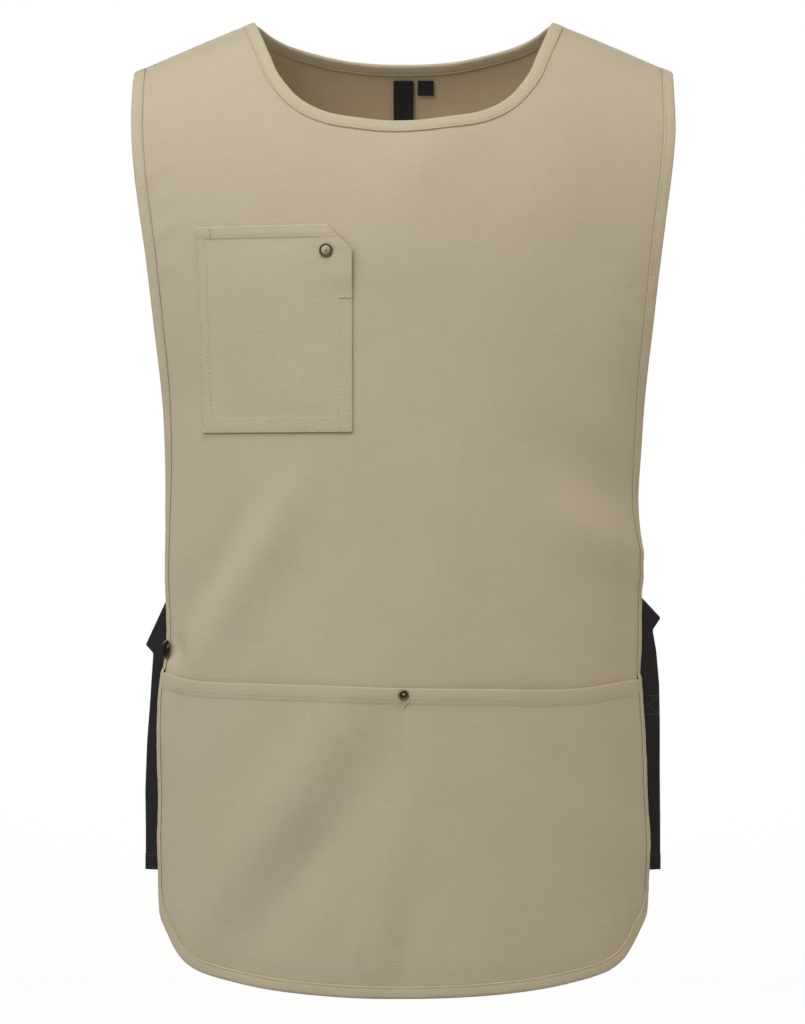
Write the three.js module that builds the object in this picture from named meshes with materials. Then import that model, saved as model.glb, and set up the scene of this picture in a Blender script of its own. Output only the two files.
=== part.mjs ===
import * as THREE from "three";

// Cobbler apron, worn form. Millimetres, +X towards the wearer's left, -Y ahead of the wearer, +Z up.
// The origin lies midway between the neck points of the two shoulder seams.

// Whole garment
const LENGTH = 763; // neck point down to the middle of the front hem
const CHEST_HALF = 214; // half the width across the shoulder tips
const SHOULDER_FALL = 40; // how far the shoulder tip lies under the neck point
const NECK_HALF = 118; // half the width of the neck opening at the seams
const FRONT_NECK_DROP = 88; // front neckline under the neck point
const BACK_NECK_DROP = 24.5; // back neckline under the neck point
const FRONT_DEPTH = 125; // middle of the front ahead of the shoulder seams
const BACK_DEPTH = 115; // middle of the back behind the shoulder seams
const SIDE_BASE = 20; // part of both depths that stays at the sides
const FRONT_ROUND = 220; // height over which the front turns from seam to upright
const BACK_ROUND = 180; // the same for the back

// Cloth
const CANVAS = 1.2; // thickness of the panels
const POCKET_CLOTH = 1.0; // thickness of pouch and chest pocket
const HEM_EXTRA = 0.8; // extra thickness of a turned hem
const HEM_HEIGHT = 10; // height of the pouch hem
const BINDING_WIDE = 10; // width of the binding on each face
const BINDING_PLY = 1.0; // thickness of each binding ply
const GAP = 0.3; // clearance between pieces that are sewn together
const SEAM_GAP = 0.4; // clearance between front and back at the shoulder seam
const PATCH_GAP = 0.5; // clearance under a patch with its own facets
const FOLD_DEPTH = 3; // height of the deepest soft fold
const GAPE = 3; // how far the pouch mouth stands off

// Pouch and chest pocket
const POUCH_TOP = 524.5; // middle of the pouch mouth under the origin
const POCKET_TOP = 169; // chest pocket's upper edge under the origin
const POCKET_TALL = 159.5;
const POCKET_LEFT = 160; // outer edge from the middle of the apron
const POCKET_WIDE = 121;
const POCKET_CUT = 20; // cut-off corner
const POCKET_HEM = 8.5;

// Metal
const POUCH_RIVET_R = 4.3;
const POCKET_RIVET_R = 5.4;
const SNAP_R = 7.2;
const RIVET_HIGH = 1.5;
const SNAP_HIGH = 3;
const SNAP_DROP = 498; // under the origin
const SNAP_INSET = 8.5; // from the panel's side edge

// Straps
const STRAP_WIDE = 25;
const STRAP_THICK = 1.5;
const ANCHOR_THICK = 1.2;
const BUCKLE_THICK = 2.4;
const BUCKLE_BAR = 3;
const BUCKLE_SLOT = 6;
const BUCKLE_SIDE = 1; // clearance beside the strap in the slot
const STRAP_TURN = 40; // degrees that the hanging strap is turned from straight ahead
const STRAP_BEHIND = 7; // hanging strap's plane behind the panel's side edge
const TAIL_END = 673; // strap end under the origin
const TAIL_HEM = 13; // doubled end of the strap
const STRAP_SEWN = 28; // length sewn to the back panel

// Labels
const LABEL_WIDE = 16.3;
const LABEL_LONG = 40;
const SIZE_WIDE = 13;
const SIZE_LONG = 11;
const LABEL_THICK = 1.0;
const LABEL_SPACE = 3.5;
const LABEL_CLEAR = 1.1; // clearance between the labels and the curved back

// Side edges. drop: share of LENGTH under the shoulder line. left, right: shares of CHEST_HALF.
// wrap: sine of the angle to which the cloth turns at its edge.
const EDGE = [
  { drop: 0.0, left: 1.001, right: 1.001, wrap: 0.68 },
  { drop: 0.029, left: 1.001, right: 0.998, wrap: 0.71 },
  { drop: 0.0665, left: 0.998, right: 0.997, wrap: 0.75 },
  { drop: 0.11, left: 0.985, right: 0.982, wrap: 0.785 },
  { drop: 0.154, left: 0.965, right: 0.962, wrap: 0.82 },
  { drop: 0.198, left: 0.943, right: 0.943, wrap: 0.85 },
  { drop: 0.241, left: 0.925, right: 0.925, wrap: 0.88 },
  { drop: 0.283, left: 0.909, right: 0.909, wrap: 0.9 },
  { drop: 0.326, left: 0.892, right: 0.892, wrap: 0.923 },
  { drop: 0.368, left: 0.879, right: 0.879, wrap: 0.945 },
  { drop: 0.41, left: 0.873, right: 0.871, wrap: 0.955 },
  { drop: 0.462, left: 0.8705, right: 0.867, wrap: 0.968 },
  { drop: 0.555, left: 0.872, right: 0.868, wrap: 0.978 },
  { drop: 0.607, left: 0.8735, right: 0.87, wrap: 0.978 },
  { drop: 0.648, left: 0.883, right: 0.865, wrap: 0.978 },
  { drop: 0.708, left: 0.894, right: 0.879, wrap: 0.978 },
  { drop: 0.77, left: 0.891, right: 0.887, wrap: 0.978 },
  { drop: 0.811, left: 0.894, right: 0.896, wrap: 0.978 },
  { drop: 0.863, left: 0.89, right: 0.89, wrap: 0.978 },
  { drop: 1.1, left: 0.89, right: 0.89, wrap: 0.978 },
];

// Hem from the end of the side edge to the middle. out: share of CHEST_HALF. down: share of LENGTH.
const HEM = [
  { out: 0.877, down: 0.9255 },
  { out: 0.8565, down: 0.9408 },
  { out: 0.8407, down: 0.9503 },
  { out: 0.821, down: 0.9599 },
  { out: 0.794, down: 0.9692 },
  { out: 0.7477, down: 0.978 },
  { out: 0.695, down: 0.9828 },
  { out: 0.5874, down: 0.989 },
  { out: 0.4771, down: 0.9936 },
  { out: 0.2925, down: 0.9979 },
  { out: 0.1, down: 0.9998 },
];
const SIDE_END = 0.863; // drop at which the rounded corner starts

// Necklines from the neck point to the middle. out: share of NECK_HALF. down: share of the neck drop.
const FRONT_NECK = [
  { out: 1.0, down: 0.0 },
  { out: 0.945, down: 0.175 },
  { out: 0.886, down: 0.361 },
  { out: 0.829, down: 0.539 },
  { out: 0.747, down: 0.692 },
  { out: 0.694, down: 0.767 },
  { out: 0.614, down: 0.843 },
  { out: 0.482, down: 0.918 },
  { out: 0.285, down: 0.966 },
  { out: 0.1, down: 0.996 },
];
const BACK_NECK = [
  { out: 1.0, down: 0.0 },
  { out: 0.964, down: 0.06 },
  { out: 0.915, down: 0.2 },
  { out: 0.808, down: 0.43 },
  { out: 0.645, down: 0.65 },
  { out: 0.508, down: 0.79 },
  { out: 0.37, down: 0.905 },
  { out: 0.232, down: 0.963 },
  { out: 0.1, down: 0.992 },
];

// Mouth of the pouch. side: share of CHEST_HALF. rise: share of LENGTH above the middle of the mouth.
const MOUTH = [
  { side: -0.87, rise: 0.0118 },
  { side: -0.77, rise: 0.006 },
  { side: -0.67, rise: 0.004 },
  { side: -0.45, rise: 0.003 },
  { side: 0.0, rise: 0.0 },
  { side: 0.31, rise: -0.0014 },
  { side: 0.52, rise: -0.0029 },
  { side: 0.65, rise: -0.002 },
  { side: 0.76, rise: 0.002 },
  { side: 0.87, rise: 0.005 },
];

// Soft folds. side: share of CHEST_HALF. down, long, wide: shares of LENGTH. turn: degrees from upright.
// lift: share of FOLD_DEPTH.
const FRONT_FOLDS = [
  { side: -0.612, down: 0.595, turn: 31, long: 0.08, wide: 0.017, lift: 1.0 },
  { side: -0.715, down: 0.583, turn: 31, long: 0.062, wide: 0.015, lift: -0.8 },
  { side: -0.49, down: 0.53, turn: 4, long: 0.042, wide: 0.017, lift: 0.5 },
  { side: -0.372, down: 0.565, turn: -3, long: 0.066, wide: 0.023, lift: -0.65 },
  { side: -0.45, down: 0.815, turn: 34, long: 0.115, wide: 0.022, lift: 1.0 },
  { side: -0.33, down: 0.86, turn: 34, long: 0.09, wide: 0.02, lift: -0.7 },
  { side: -0.07, down: 0.895, turn: 13, long: 0.075, wide: 0.016, lift: 0.6 },
  { side: 0.72, down: 0.54, turn: -60, long: 0.046, wide: 0.02, lift: 0.7 },
  { side: 0.7, down: 0.475, turn: -50, long: 0.05, wide: 0.024, lift: -0.7 },
  { side: 0.1, down: 0.15, turn: 45, long: 0.05, wide: 0.024, lift: 0.5 },
  { side: 0.69, down: 0.25, turn: 20, long: 0.05, wide: 0.032, lift: -0.5 },
];
const BACK_FOLDS = [
  { side: 0.35, down: 0.6, turn: 10, long: 0.16, wide: 0.04, lift: 1.0 },
  { side: -0.3, down: 0.66, turn: -8, long: 0.17, wide: 0.045, lift: 0.9 },
  { side: 0.02, down: 0.55, turn: 2, long: 0.14, wide: 0.04, lift: -0.8 },
];

// Value at x on a smooth line through the table's rows
function along(table, key, value, x) {
  const n = table.length;
  if (x <= table[0][key]) return table[0][value];
  if (x >= table[n - 1][key]) return table[n - 1][value];
  let i = 0;
  while (x > table[i + 1][key]) i += 1;
  const slope = (a, b) => (table[b][value] - table[a][value]) / (table[b][key] - table[a][key]);
  const span = table[i + 1][key] - table[i][key];
  const mid = slope(i, i + 1);
  const from = i > 0 ? slope(i - 1, i + 1) : mid;
  const to = i + 2 < n ? slope(i, i + 2) : mid;
  const s = (x - table[i][key]) / span;
  const a = table[i][value];
  const b = table[i + 1][value];
  const h = s * s * (3 - 2 * s);
  return a + (b - a) * h + span * (from * s * (1 - s) * (1 - s) - to * s * s * (1 - s));
}

// Height of the shoulder line over the point x
const BEND = 20;
const rising = (a) => (a + Math.sqrt(a * a + BEND * BEND)) / 2;
const beyondNeck = (x) => Math.abs(x) - (NECK_HALF - 0.65 * BEND);
const FALL_RATE = SHOULDER_FALL / (rising(beyondNeck(CHEST_HALF)) - rising(beyondNeck(NECK_HALF)));
const shoulderLine = (x) => FALL_RATE * (rising(beyondNeck(NECK_HALF)) - rising(beyondNeck(x)));

const reach = (drop, x) => CHEST_HALF * along(EDGE, "drop", x < 0 ? "left" : "right", drop / LENGTH);
const wrapAt = (drop) => along(EDGE, "drop", "wrap", drop / LENGTH);

// One face of the garment. A place on it is t, the angle round the body, and v, the way down from the seam.
class Face {
  constructor(sign, depth, round, folds) {
    this.sign = sign;
    this.depth = depth;
    this.round = round;
    this.folds = folds;
    this.quarter = (round * Math.PI) / 2;
  }
  dropOf(v) {
    if (Math.abs(v) < this.quarter) return this.round * (1 - Math.cos(v / this.round));
    return this.round + v - this.quarter;
  }
  wayOf(drop) {
    const d = Math.max(drop, 0);
    if (d < this.round) return this.round * Math.acos(1 - d / this.round);
    return d - this.round + this.quarter;
  }
  smooth(t, v) {
    const drop = this.dropOf(v);
    const x = (reach(drop, t) / wrapAt(drop)) * Math.sin(t);
    const ahead = v < this.quarter ? Math.sin(v / this.round) : 1;
    const y = this.sign * (SIDE_BASE + (this.depth - SIDE_BASE) * Math.cos(t)) * ahead;
    return new THREE.Vector3(x, y, shoulderLine(x) - drop);
  }
  foldAt(x, z) {
    let lift = 0;
    for (const f of this.folds) {
      const a = THREE.MathUtils.degToRad(f.turn);
      const dx = x - f.side * CHEST_HALF;
      const dz = z + f.down * LENGTH;
      const up = (dx * Math.sin(a) + dz * Math.cos(a)) / (f.long * LENGTH);
      const over = (dx * Math.cos(a) - dz * Math.sin(a)) / (f.wide * LENGTH);
      lift += f.lift * FOLD_DEPTH * Math.exp(-0.5 * (up * up + over * over));
    }
    return lift;
  }
  base(t, v) {
    const p = this.smooth(t, v);
    const n = this.across(t, v, (a, b) => this.smooth(a, b));
    return p.addScaledVector(n, this.foldAt(p.x, p.z));
  }
  across(t, v, where) {
    const st = 0.002;
    const sv = 0.4;
    const dt = where(t + st, v).sub(where(t - st, v));
    const dv = where(t, v + sv).sub(where(t, v - sv));
    return dt.cross(dv).normalize().multiplyScalar(this.sign);
  }
  at(t, v, off) {
    const n = this.across(t, v, (a, b) => this.base(a, b));
    return this.base(t, v).addScaledVector(n, off);
  }
  place(x, z) {
    const drop = shoulderLine(x) - z;
    const u = x / (reach(drop, x) / wrapAt(drop));
    return { t: Math.asin(THREE.MathUtils.clamp(u, -0.985, 0.985)), v: this.wayOf(drop) };
  }
  // The place that lies off the given one by a vector along the cloth
  shifted(p, move) {
    const st = 0.002;
    const sv = 0.4;
    const dt = this.base(p.t + st, p.v).sub(this.base(p.t - st, p.v)).divideScalar(2 * st);
    const dv = this.base(p.t, p.v + sv).sub(this.base(p.t, p.v - sv)).divideScalar(2 * sv);
    const a = dt.dot(dt);
    const b = dt.dot(dv);
    const c = dv.dot(dv);
    const m = dt.dot(move);
    const n = dv.dot(move);
    const det = a * c - b * b;
    return { t: p.t + (m * c - n * b) / det, v: p.v + (n * a - m * b) / det };
  }
}

const front = new Face(-1, FRONT_DEPTH, FRONT_ROUND, FRONT_FOLDS);
const back = new Face(1, BACK_DEPTH, BACK_ROUND, BACK_FOLDS);

// A line of close places on a face, and stations set along it
class Edge {
  constructor(face, places, inward) {
    this.face = face;
    this.places = places;
    this.inward = inward;
    this.points = places.map((p) => face.base(p.t, p.v));
    this.run = [0];
    for (let i = 1; i < places.length; i += 1) {
      this.run.push(this.run[i - 1] + this.points[i].distanceTo(this.points[i - 1]));
    }
    this.total = this.run[this.run.length - 1];
    this.stations = [];
  }
  placeAt(s) {
    let i = 0;
    while (i < this.run.length - 2 && this.run[i + 1] < s) i += 1;
    const k = (s - this.run[i]) / (this.run[i + 1] - this.run[i]);
    const a = this.places[i];
    const b = this.places[i + 1];
    return { t: a.t + (b.t - a.t) * k, v: a.v + (b.v - a.v) * k };
  }
  // Length along the line at which test first holds, looked for from the start or from the end
  where(test, fromEnd) {
    const n = this.places.length;
    for (let i = 1; i < n; i += 1) {
      const k = fromEnd ? n - 1 - i : i;
      const j = fromEnd ? k + 1 : k - 1;
      const a = test(this.places[j], this.points[j]);
      const b = test(this.places[k], this.points[k]);
      if (b >= 0) return this.run[j] + ((this.run[k] - this.run[j]) * -a) / (b - a);
    }
    return fromEnd ? 0 : this.total;
  }
  setStations(lengths) {
    this.stations = lengths;
  }
  // Place d inside the line at station k. At both ends it stays on the shoulder seam.
  inset(k, d) {
    const s = this.stations[k];
    const p = this.placeAt(s);
    const reachBack = Math.max(0, s - 5);
    const reachOn = Math.min(this.total, s + 5);
    const a = this.placeAt(reachBack);
    const b = this.placeAt(reachOn);
    const way = this.face.base(b.t, b.v).sub(this.face.base(a.t, a.v)).normalize();
    const normal = this.face.across(p.t, p.v, (x, y) => this.face.base(x, y));
    const inner = way.clone().cross(normal).normalize().multiplyScalar(this.inward);
    if (k === 0 || k === this.stations.length - 1) {
      const step = 0.01;
      const seam = this.face.base(p.t + step, p.v).sub(this.face.base(p.t - step, p.v));
      const perMove = seam.dot(inner) / (2 * step);
      return { t: p.t + d / perMove, v: p.v };
    }
    const half = this.face.shifted(p, inner.clone().multiplyScalar(d / 2));
    return this.face.shifted(half, inner.clone().multiplyScalar(d / 2));
  }
}

const even = (from, to, count) =>
  Array.from({ length: count + 1 }, (_, i) => from + ((to - from) * i) / count);

// Lengths closer together at both ends
const eased = (from, to, count, amount) =>
  Array.from({ length: count + 1 }, (_, i) => {
    const k = i / count;
    return from + (to - from) * (k - (amount * Math.sin(2 * Math.PI * k)) / (2 * Math.PI));
  });

// Lengths closer together towards the end
const squeezed = (from, to, count, amount) =>
  Array.from({ length: count + 1 }, (_, i) => {
    const k = i / count;
    return from + (to - from) * (k + amount * k * (1 - k));
  });

function outlineOf(face, seamWay) {
  const places = [];
  const sideEnd = SIDE_END * LENGTH;
  const side = (sign) => {
    const list = [];
    for (let i = 0; i <= 160; i += 1) {
      const drop = face.dropOf(seamWay) + (sideEnd - face.dropOf(seamWay)) * (i / 160);
      list.push({ t: sign * Math.asin(wrapAt(drop)), v: face.wayOf(drop) });
    }
    return list;
  };
  const left = side(-1);
  const right = side(1).reverse();
  const start = face.smooth(left[160].t, left[160].v);
  const end = face.smooth(right[0].t, right[0].v);
  const knots = [new THREE.Vector3(start.x, 0, start.z)];
  for (const h of HEM) knots.push(new THREE.Vector3(-h.out * CHEST_HALF, 0, -h.down * LENGTH));
  for (const h of [...HEM].reverse()) {
    knots.push(new THREE.Vector3(h.out * CHEST_HALF, 0, -h.down * LENGTH));
  }
  knots.push(new THREE.Vector3(end.x, 0, end.z));
  const hem = new THREE.CatmullRomCurve3(knots, false, "centripetal").getSpacedPoints(260);
  places.push(...left);
  for (const p of hem.slice(1, -1)) places.push(face.place(p.x, p.z));
  places.push(...right);
  return new Edge(face, places, face.sign);
}

function necklineOf(face, table, drop, seamWay) {
  const knots = [];
  const seamDrop = face.dropOf(seamWay);
  for (const r of table) {
    knots.push(new THREE.Vector3(-r.out * NECK_HALF, 0, -r.down * drop - seamDrop));
  }
  for (const r of [...table].reverse()) {
    knots.push(new THREE.Vector3(r.out * NECK_HALF, 0, -r.down * drop - seamDrop));
  }
  const curve = new THREE.CatmullRomCurve3(knots, false, "centripetal").getSpacedPoints(240);
  const places = curve.map((p) => face.place(p.x, p.z));
  places[0].v = seamWay;
  places[places.length - 1].v = seamWay;
  return new Edge(face, places, -face.sign);
}

// Four-sided grid between two side lines and a top and a bottom line of places
function filled(top, bottom, left, right) {
  const rows = left.length - 1;
  const cols = top.length - 1;
  const grid = [];
  for (let i = 0; i <= rows; i += 1) {
    const r = i / rows;
    const row = [];
    for (let j = 0; j <= cols; j += 1) {
      const c = j / cols;
      const mix = (k) =>
        (1 - r) * top[j][k] + r * bottom[j][k] + (1 - c) * left[i][k] + c * right[i][k]
        - (1 - r) * ((1 - c) * top[0][k] + c * top[cols][k])
        - r * ((1 - c) * bottom[0][k] + c * bottom[cols][k]);
      row.push({ t: mix("t"), v: mix("v") });
    }
    grid.push(row);
  }
  return grid;
}

const CUT_IN = BINDING_PLY + GAP; // cut edge of the panel inside the fold of the binding
const MOUTH_STEP = 4; // the binding steps up over the pouch within this height
const HEM_STEP = 0.6;

function mouthDrop(x) {
  return POUCH_TOP - LENGTH * along(MOUTH, "side", "rise", x / CHEST_HALF);
}

// Panel of canvas: its places, its four-cornered facets and the lines of its edges
function panelOf(face, cfg) {
  const seamWay = cfg.seamWay;
  const outline = outlineOf(face, seamWay);
  const neck = necklineOf(face, cfg.neck, cfg.neckDrop, seamWay);
  const [nStrap, nNeck, nDown] = [cfg.strapColumns, cfg.neckColumns, cfg.strapRows];
  const columns = 2 * nStrap + nNeck;

  const neckSplit = 0.78 * cfg.neckDrop;
  const downTo = (drop, fromEnd) => outline.where((p) => p.v - face.wayOf(drop), fromEnd);
  const lines = cfg.pouch ? [-MOUTH_STEP, 0, HEM_HEIGHT, HEM_HEIGHT + HEM_STEP] : [];
  const sideLengths = (fromEnd) => {
    const sign = fromEnd ? -1 : 1;
    const start = fromEnd ? outline.total : 0;
    const elbow = downTo(cfg.elbow, fromEnd);
    const corner = outline.where(
      (p, q) => (0.8 * CHEST_HALF - Math.abs(q.x)) * (q.z < -0.9 * LENGTH ? 1 : -1) - (q.z < -0.9 * LENGTH ? 0 : 1e3),
      fromEnd,
    );
    const list = even(start, elbow, nDown);
    if (cfg.pouch) {
      const x = (fromEnd ? 1 : -1) * 0.87 * CHEST_HALF;
      const mouth = downTo(shoulderLine(x) + mouthDrop(x), fromEnd);
      list.push(...even(elbow, mouth - sign * MOUTH_STEP, cfg.upperRows).slice(1));
      for (const l of lines.slice(1)) list.push(mouth + sign * l);
      const last = list[list.length - 1];
      list.push(...squeezed(last, corner, cfg.lowerRows, 0.45).slice(1));
    } else {
      list.push(...eased(elbow, corner, cfg.upperRows, 0.6).slice(1));
    }
    return list;
  };
  const leftList = sideLengths(false);
  const rightList = sideLengths(true).reverse();
  const cornerL = leftList[leftList.length - 1];
  const cornerR = rightList[0];
  const hemList = eased(cornerL, cornerR, columns, 0.4).slice(1, -1);
  outline.setStations([...leftList, ...hemList, ...rightList]);
  const sideCount = leftList.length - 1;
  const last = outline.stations.length - 1;

  const splitLeft = neck.where((p, q) => -q.z - neckSplit, false);
  const splitRight = neck.where((p, q) => -q.z - neckSplit, true);
  neck.setStations([
    ...even(0, splitLeft, nDown),
    ...even(splitLeft, splitRight, nNeck).slice(1),
    ...even(splitRight, neck.total, nDown).slice(1),
  ]);
  const neckLast = neck.stations.length - 1;

  const places = [];
  const add = (p, sewn) => places.push({ ...p, sewn }) - 1;
  const cut = outline.stations.map((_, k) => add(outline.inset(k, CUT_IN), true));
  const ring = outline.stations.map((_, k) => add(outline.inset(k, BINDING_WIDE), true));
  const neckCut = neck.stations.map((_, k) => add(neck.inset(k, CUT_IN), true));
  const neckRing = neck.stations.map((_, k) => add(neck.inset(k, BINDING_WIDE), true));

  const facets = [];
  const quad = (a, b, c, d, low) => facets.push({ corners: [a, b, c, d], low });
  const mouthIndex = cfg.pouch ? nDown + cfg.upperRows + 1 : last;
  const isLow = (k) => cfg.pouch && k >= mouthIndex && k + 1 <= last - mouthIndex;
  for (let k = 0; k < last; k += 1) quad(cut[k], cut[k + 1], ring[k + 1], ring[k], isLow(k));
  for (let k = 0; k < neckLast; k += 1) {
    quad(neckRing[k + 1], neckCut[k + 1], neckCut[k], neckRing[k], false);
  }

  const between = (a, b, n) =>
    even(0, 1, n).map((k) => ({
      t: places[a].t + (places[b].t - places[a].t) * k,
      v: places[a].v + (places[b].v - places[a].v) * k,
    }));
  const idsOf = (line, first, end) =>
    line.map((p, j) => (j === 0 ? first : j === line.length - 1 ? end : add(p, false)));
  const block = (topIds, bottomIds, leftIds, rightIds, low) => {
    const at = (ids) => ids.map((i) => places[i]);
    const grid = filled(at(topIds), at(bottomIds), at(leftIds), at(rightIds));
    const rows = leftIds.length - 1;
    const ids = grid.map((row, i) => {
      if (i === 0) return topIds;
      if (i === rows) return bottomIds;
      return idsOf(row, leftIds[i], rightIds[i]);
    });
    for (let i = 0; i < rows; i += 1) {
      for (let j = 0; j < topIds.length - 1; j += 1) {
        quad(ids[i][j], ids[i + 1][j], ids[i + 1][j + 1], ids[i][j + 1], low);
      }
    }
  };

  const seamLeft = idsOf(between(ring[0], neckRing[0], nStrap), ring[0], neckRing[0]);
  const footLeft = idsOf(between(ring[nDown], neckRing[nDown], nStrap), ring[nDown], neckRing[nDown]);
  block(seamLeft, footLeft, ring.slice(0, nDown + 1), neckRing.slice(0, nDown + 1), false);
  const neckEnd = neckLast - nDown;
  const seamRight = idsOf(between(neckRing[neckLast], ring[last], nStrap), neckRing[neckLast], ring[last]);
  const footRight = idsOf(
    between(neckRing[neckEnd], ring[last - nDown], nStrap), neckRing[neckEnd], ring[last - nDown],
  );
  block(
    seamRight, footRight,
    neckRing.slice(neckEnd).reverse(), ring.slice(last - nDown).reverse(), false,
  );

  let above = [...footLeft, ...neckRing.slice(nDown + 1, neckEnd), ...footRight];
  const hemIds = ring.slice(sideCount, sideCount + columns + 1);
  let from = nDown;
  lines.forEach((l, n) => {
    const k = nDown + cfg.upperRows + n;
    const a = ring[k];
    const b = ring[last - k];
    const ids = even(0, 1, columns).map((c, j) => {
      if (j === 0) return a;
      if (j === columns) return b;
      const t = places[a].t + (places[b].t - places[a].t) * c;
      let v = places[a].v;
      for (let i = 0; i < 4; i += 1) {
        const p = face.smooth(t, v);
        v = face.wayOf(shoulderLine(p.x) + mouthDrop(p.x) + l);
      }
      return add({ t, v }, false);
    });
    block(above, ids, ring.slice(from, k + 1), ring.slice(last - k, last - from + 1).reverse(), n > 1);
    above = ids;
    from = k;
  });
  block(
    above, hemIds,
    ring.slice(from, sideCount + 1), ring.slice(last - sideCount, last - from + 1).reverse(), cfg.pouch,
  );
  return { face, places, facets, outline, neck, last, mouthIndex, seamWay };
}

function bodyOf(name, points, triangles) {
  const flat = [];
  let volume = 0;
  for (const [a, b, c] of triangles) {
    const p = points[a];
    const q = points[b];
    const r = points[c];
    volume += p.dot(q.clone().cross(r));
  }
  for (const [a, b, c] of triangles) {
    const order = volume < 0 ? [a, c, b] : [a, b, c];
    for (const i of order) flat.push(points[i].x, points[i].y, points[i].z);
  }
  const geometry = new THREE.BufferGeometry();
  geometry.setAttribute("position", new THREE.Float32BufferAttribute(flat, 3));
  geometry.computeVertexNormals();
  const mesh = new THREE.Mesh(geometry, new THREE.MeshStandardMaterial());
  mesh.name = name;
  return mesh;
}

// Sheet of cloth over some of a panel's facets, between two heights over the panel's middle
function sheetOf(name, panel, facets, outer, inner) {
  const index = new Map();
  const points = [];
  const upper = (i) => {
    if (!index.has(i)) {
      const p = panel.places[i];
      const normal = panel.face.across(p.t, p.v, (a, b) => panel.face.base(a, b));
      const base = panel.face.base(p.t, p.v);
      index.set(i, points.length);
      points.push(base.clone().addScaledVector(normal, outer(p, base)));
      points.push(base.clone().addScaledVector(normal, inner(p, base)));
    }
    return index.get(i);
  };
  const triangles = [];
  const sides = new Map();
  for (const f of facets) {
    const c = f.corners.map(upper);
    triangles.push([c[0], c[1], c[2]], [c[0], c[2], c[3]]);
    triangles.push([c[2] + 1, c[1] + 1, c[0] + 1], [c[3] + 1, c[2] + 1, c[0] + 1]);
    for (let i = 0; i < 4; i += 1) {
      const a = c[i];
      const b = c[(i + 1) % 4];
      if (!sides.delete(b + "," + a)) sides.set(a + "," + b, [a, b]);
    }
  }
  for (const [a, b] of sides.values()) triangles.push([b, a, a + 1], [b, a + 1, b + 1]);
  return bodyOf(name, points, triangles);
}

// Solid through rows of points, each row a closed section
function sweptBody(name, sections, closed, caps, turnedWay = () => false) {
  const points = sections.flat();
  const n = sections[0].length;
  const count = sections.length;
  const triangles = [];
  const rounds = closed ? count : count - 1;
  for (let k = 0; k < rounds; k += 1) {
    const a = k * n;
    const b = ((k + 1) % count) * n;
    for (let i = 0; i < n; i += 1) {
      const j = (i + 1) % n;
      if (turnedWay(i, k)) {
        triangles.push([a + i, a + j, b + i], [a + j, b + j, b + i]);
      } else {
        triangles.push([a + i, a + j, b + j], [a + i, b + j, b + i]);
      }
    }
  }
  if (!closed) {
    for (const [p, q, r, s] of caps) {
      const e = (count - 1) * n;
      triangles.push([r, q, p], [s, r, p]);
      triangles.push([e + p, e + q, e + r], [e + p, e + r, e + s]);
    }
  }
  return bodyOf(name, points, triangles);
}

const PLY_AT = CANVAS / 2 + GAP; // inner side of a binding ply over the panel's middle
const POUCH_AT = CANVAS / 2 + GAP;
const RAISED_AT = POUCH_AT + POCKET_CLOTH + GAP; // binding ply where it covers the pouch
const U_BACKWARD = [1, 5]; // sides of the section that run from the inner edge out
const U_CAPS = [[0, 1, 2, 7], [2, 3, 6, 7], [3, 4, 5, 6]];

function bindingSection(edge, k, at, way) {
  const p = (d, off) => {
    const place = edge.inset(k, d);
    return edge.face.at(place.t, way === undefined ? place.v : way, off);
  };
  const top = at + BINDING_PLY;
  const low = PLY_AT + BINDING_PLY;
  return [
    p(BINDING_WIDE, at), p(BINDING_WIDE, top), p(0, top), p(0, -low),
    p(BINDING_WIDE, -low), p(BINDING_WIDE, -PLY_AT), p(BINDING_PLY, -PLY_AT), p(BINDING_PLY, at),
  ];
}

function edgeBinding(name, panel) {
  const sections = panel.outline.stations.map((_, k) => {
    const low = k >= panel.mouthIndex && k <= panel.last - panel.mouthIndex;
    return bindingSection(panel.outline, k, low ? RAISED_AT : PLY_AT);
  });
  return sweptBody(name, sections, false, U_CAPS, (i) => U_BACKWARD.includes(i));
}

function neckRing(name, a, b) {
  const sections = [];
  const n = a.neck.stations.length - 1;
  const m = b.neck.stations.length - 1;
  sections.push(bindingSection(a.neck, 0, PLY_AT, 0));
  for (let k = 1; k < n; k += 1) sections.push(bindingSection(a.neck, k, PLY_AT));
  sections.push(bindingSection(a.neck, n, PLY_AT, 0));
  for (let k = m - 1; k > 0; k -= 1) sections.push(bindingSection(b.neck, k, PLY_AT));
  const forward = (k) => k < n;
  return sweptBody(name, sections, true, [], (i, k) => U_BACKWARD.includes(i) === forward(k));
}

const seamWayOf = (depth, round) => ((SEAM_GAP / 2) * round) / (0.83 * (depth - SIDE_BASE) + SIDE_BASE);

const frontPanel = panelOf(front, {
  seamWay: seamWayOf(FRONT_DEPTH, FRONT_ROUND), neck: FRONT_NECK, neckDrop: FRONT_NECK_DROP,
  strapColumns: 4, neckColumns: 12, strapRows: 5, elbow: 0.085 * LENGTH,
  pouch: true, upperRows: 15, lowerRows: 9,
});
const backPanel = panelOf(back, {
  seamWay: seamWayOf(BACK_DEPTH, BACK_ROUND), neck: BACK_NECK, neckDrop: BACK_NECK_DROP,
  strapColumns: 4, neckColumns: 8, strapRows: 3, elbow: 0.035 * LENGTH,
  pouch: false, upperRows: 17, lowerRows: 0,
});

const root = new THREE.Group();
root.name = "cobbler_apron";
const half = CANVAS / 2;
root.add(sheetOf("front_panel", frontPanel, frontPanel.facets, () => half, () => -half));
root.add(sheetOf("back_panel", backPanel, backPanel.facets, () => half, () => -half));
root.add(edgeBinding("front_edge_binding", frontPanel));
root.add(edgeBinding("back_edge_binding", backPanel));
root.add(neckRing("neck_binding", frontPanel, backPanel));

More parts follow.
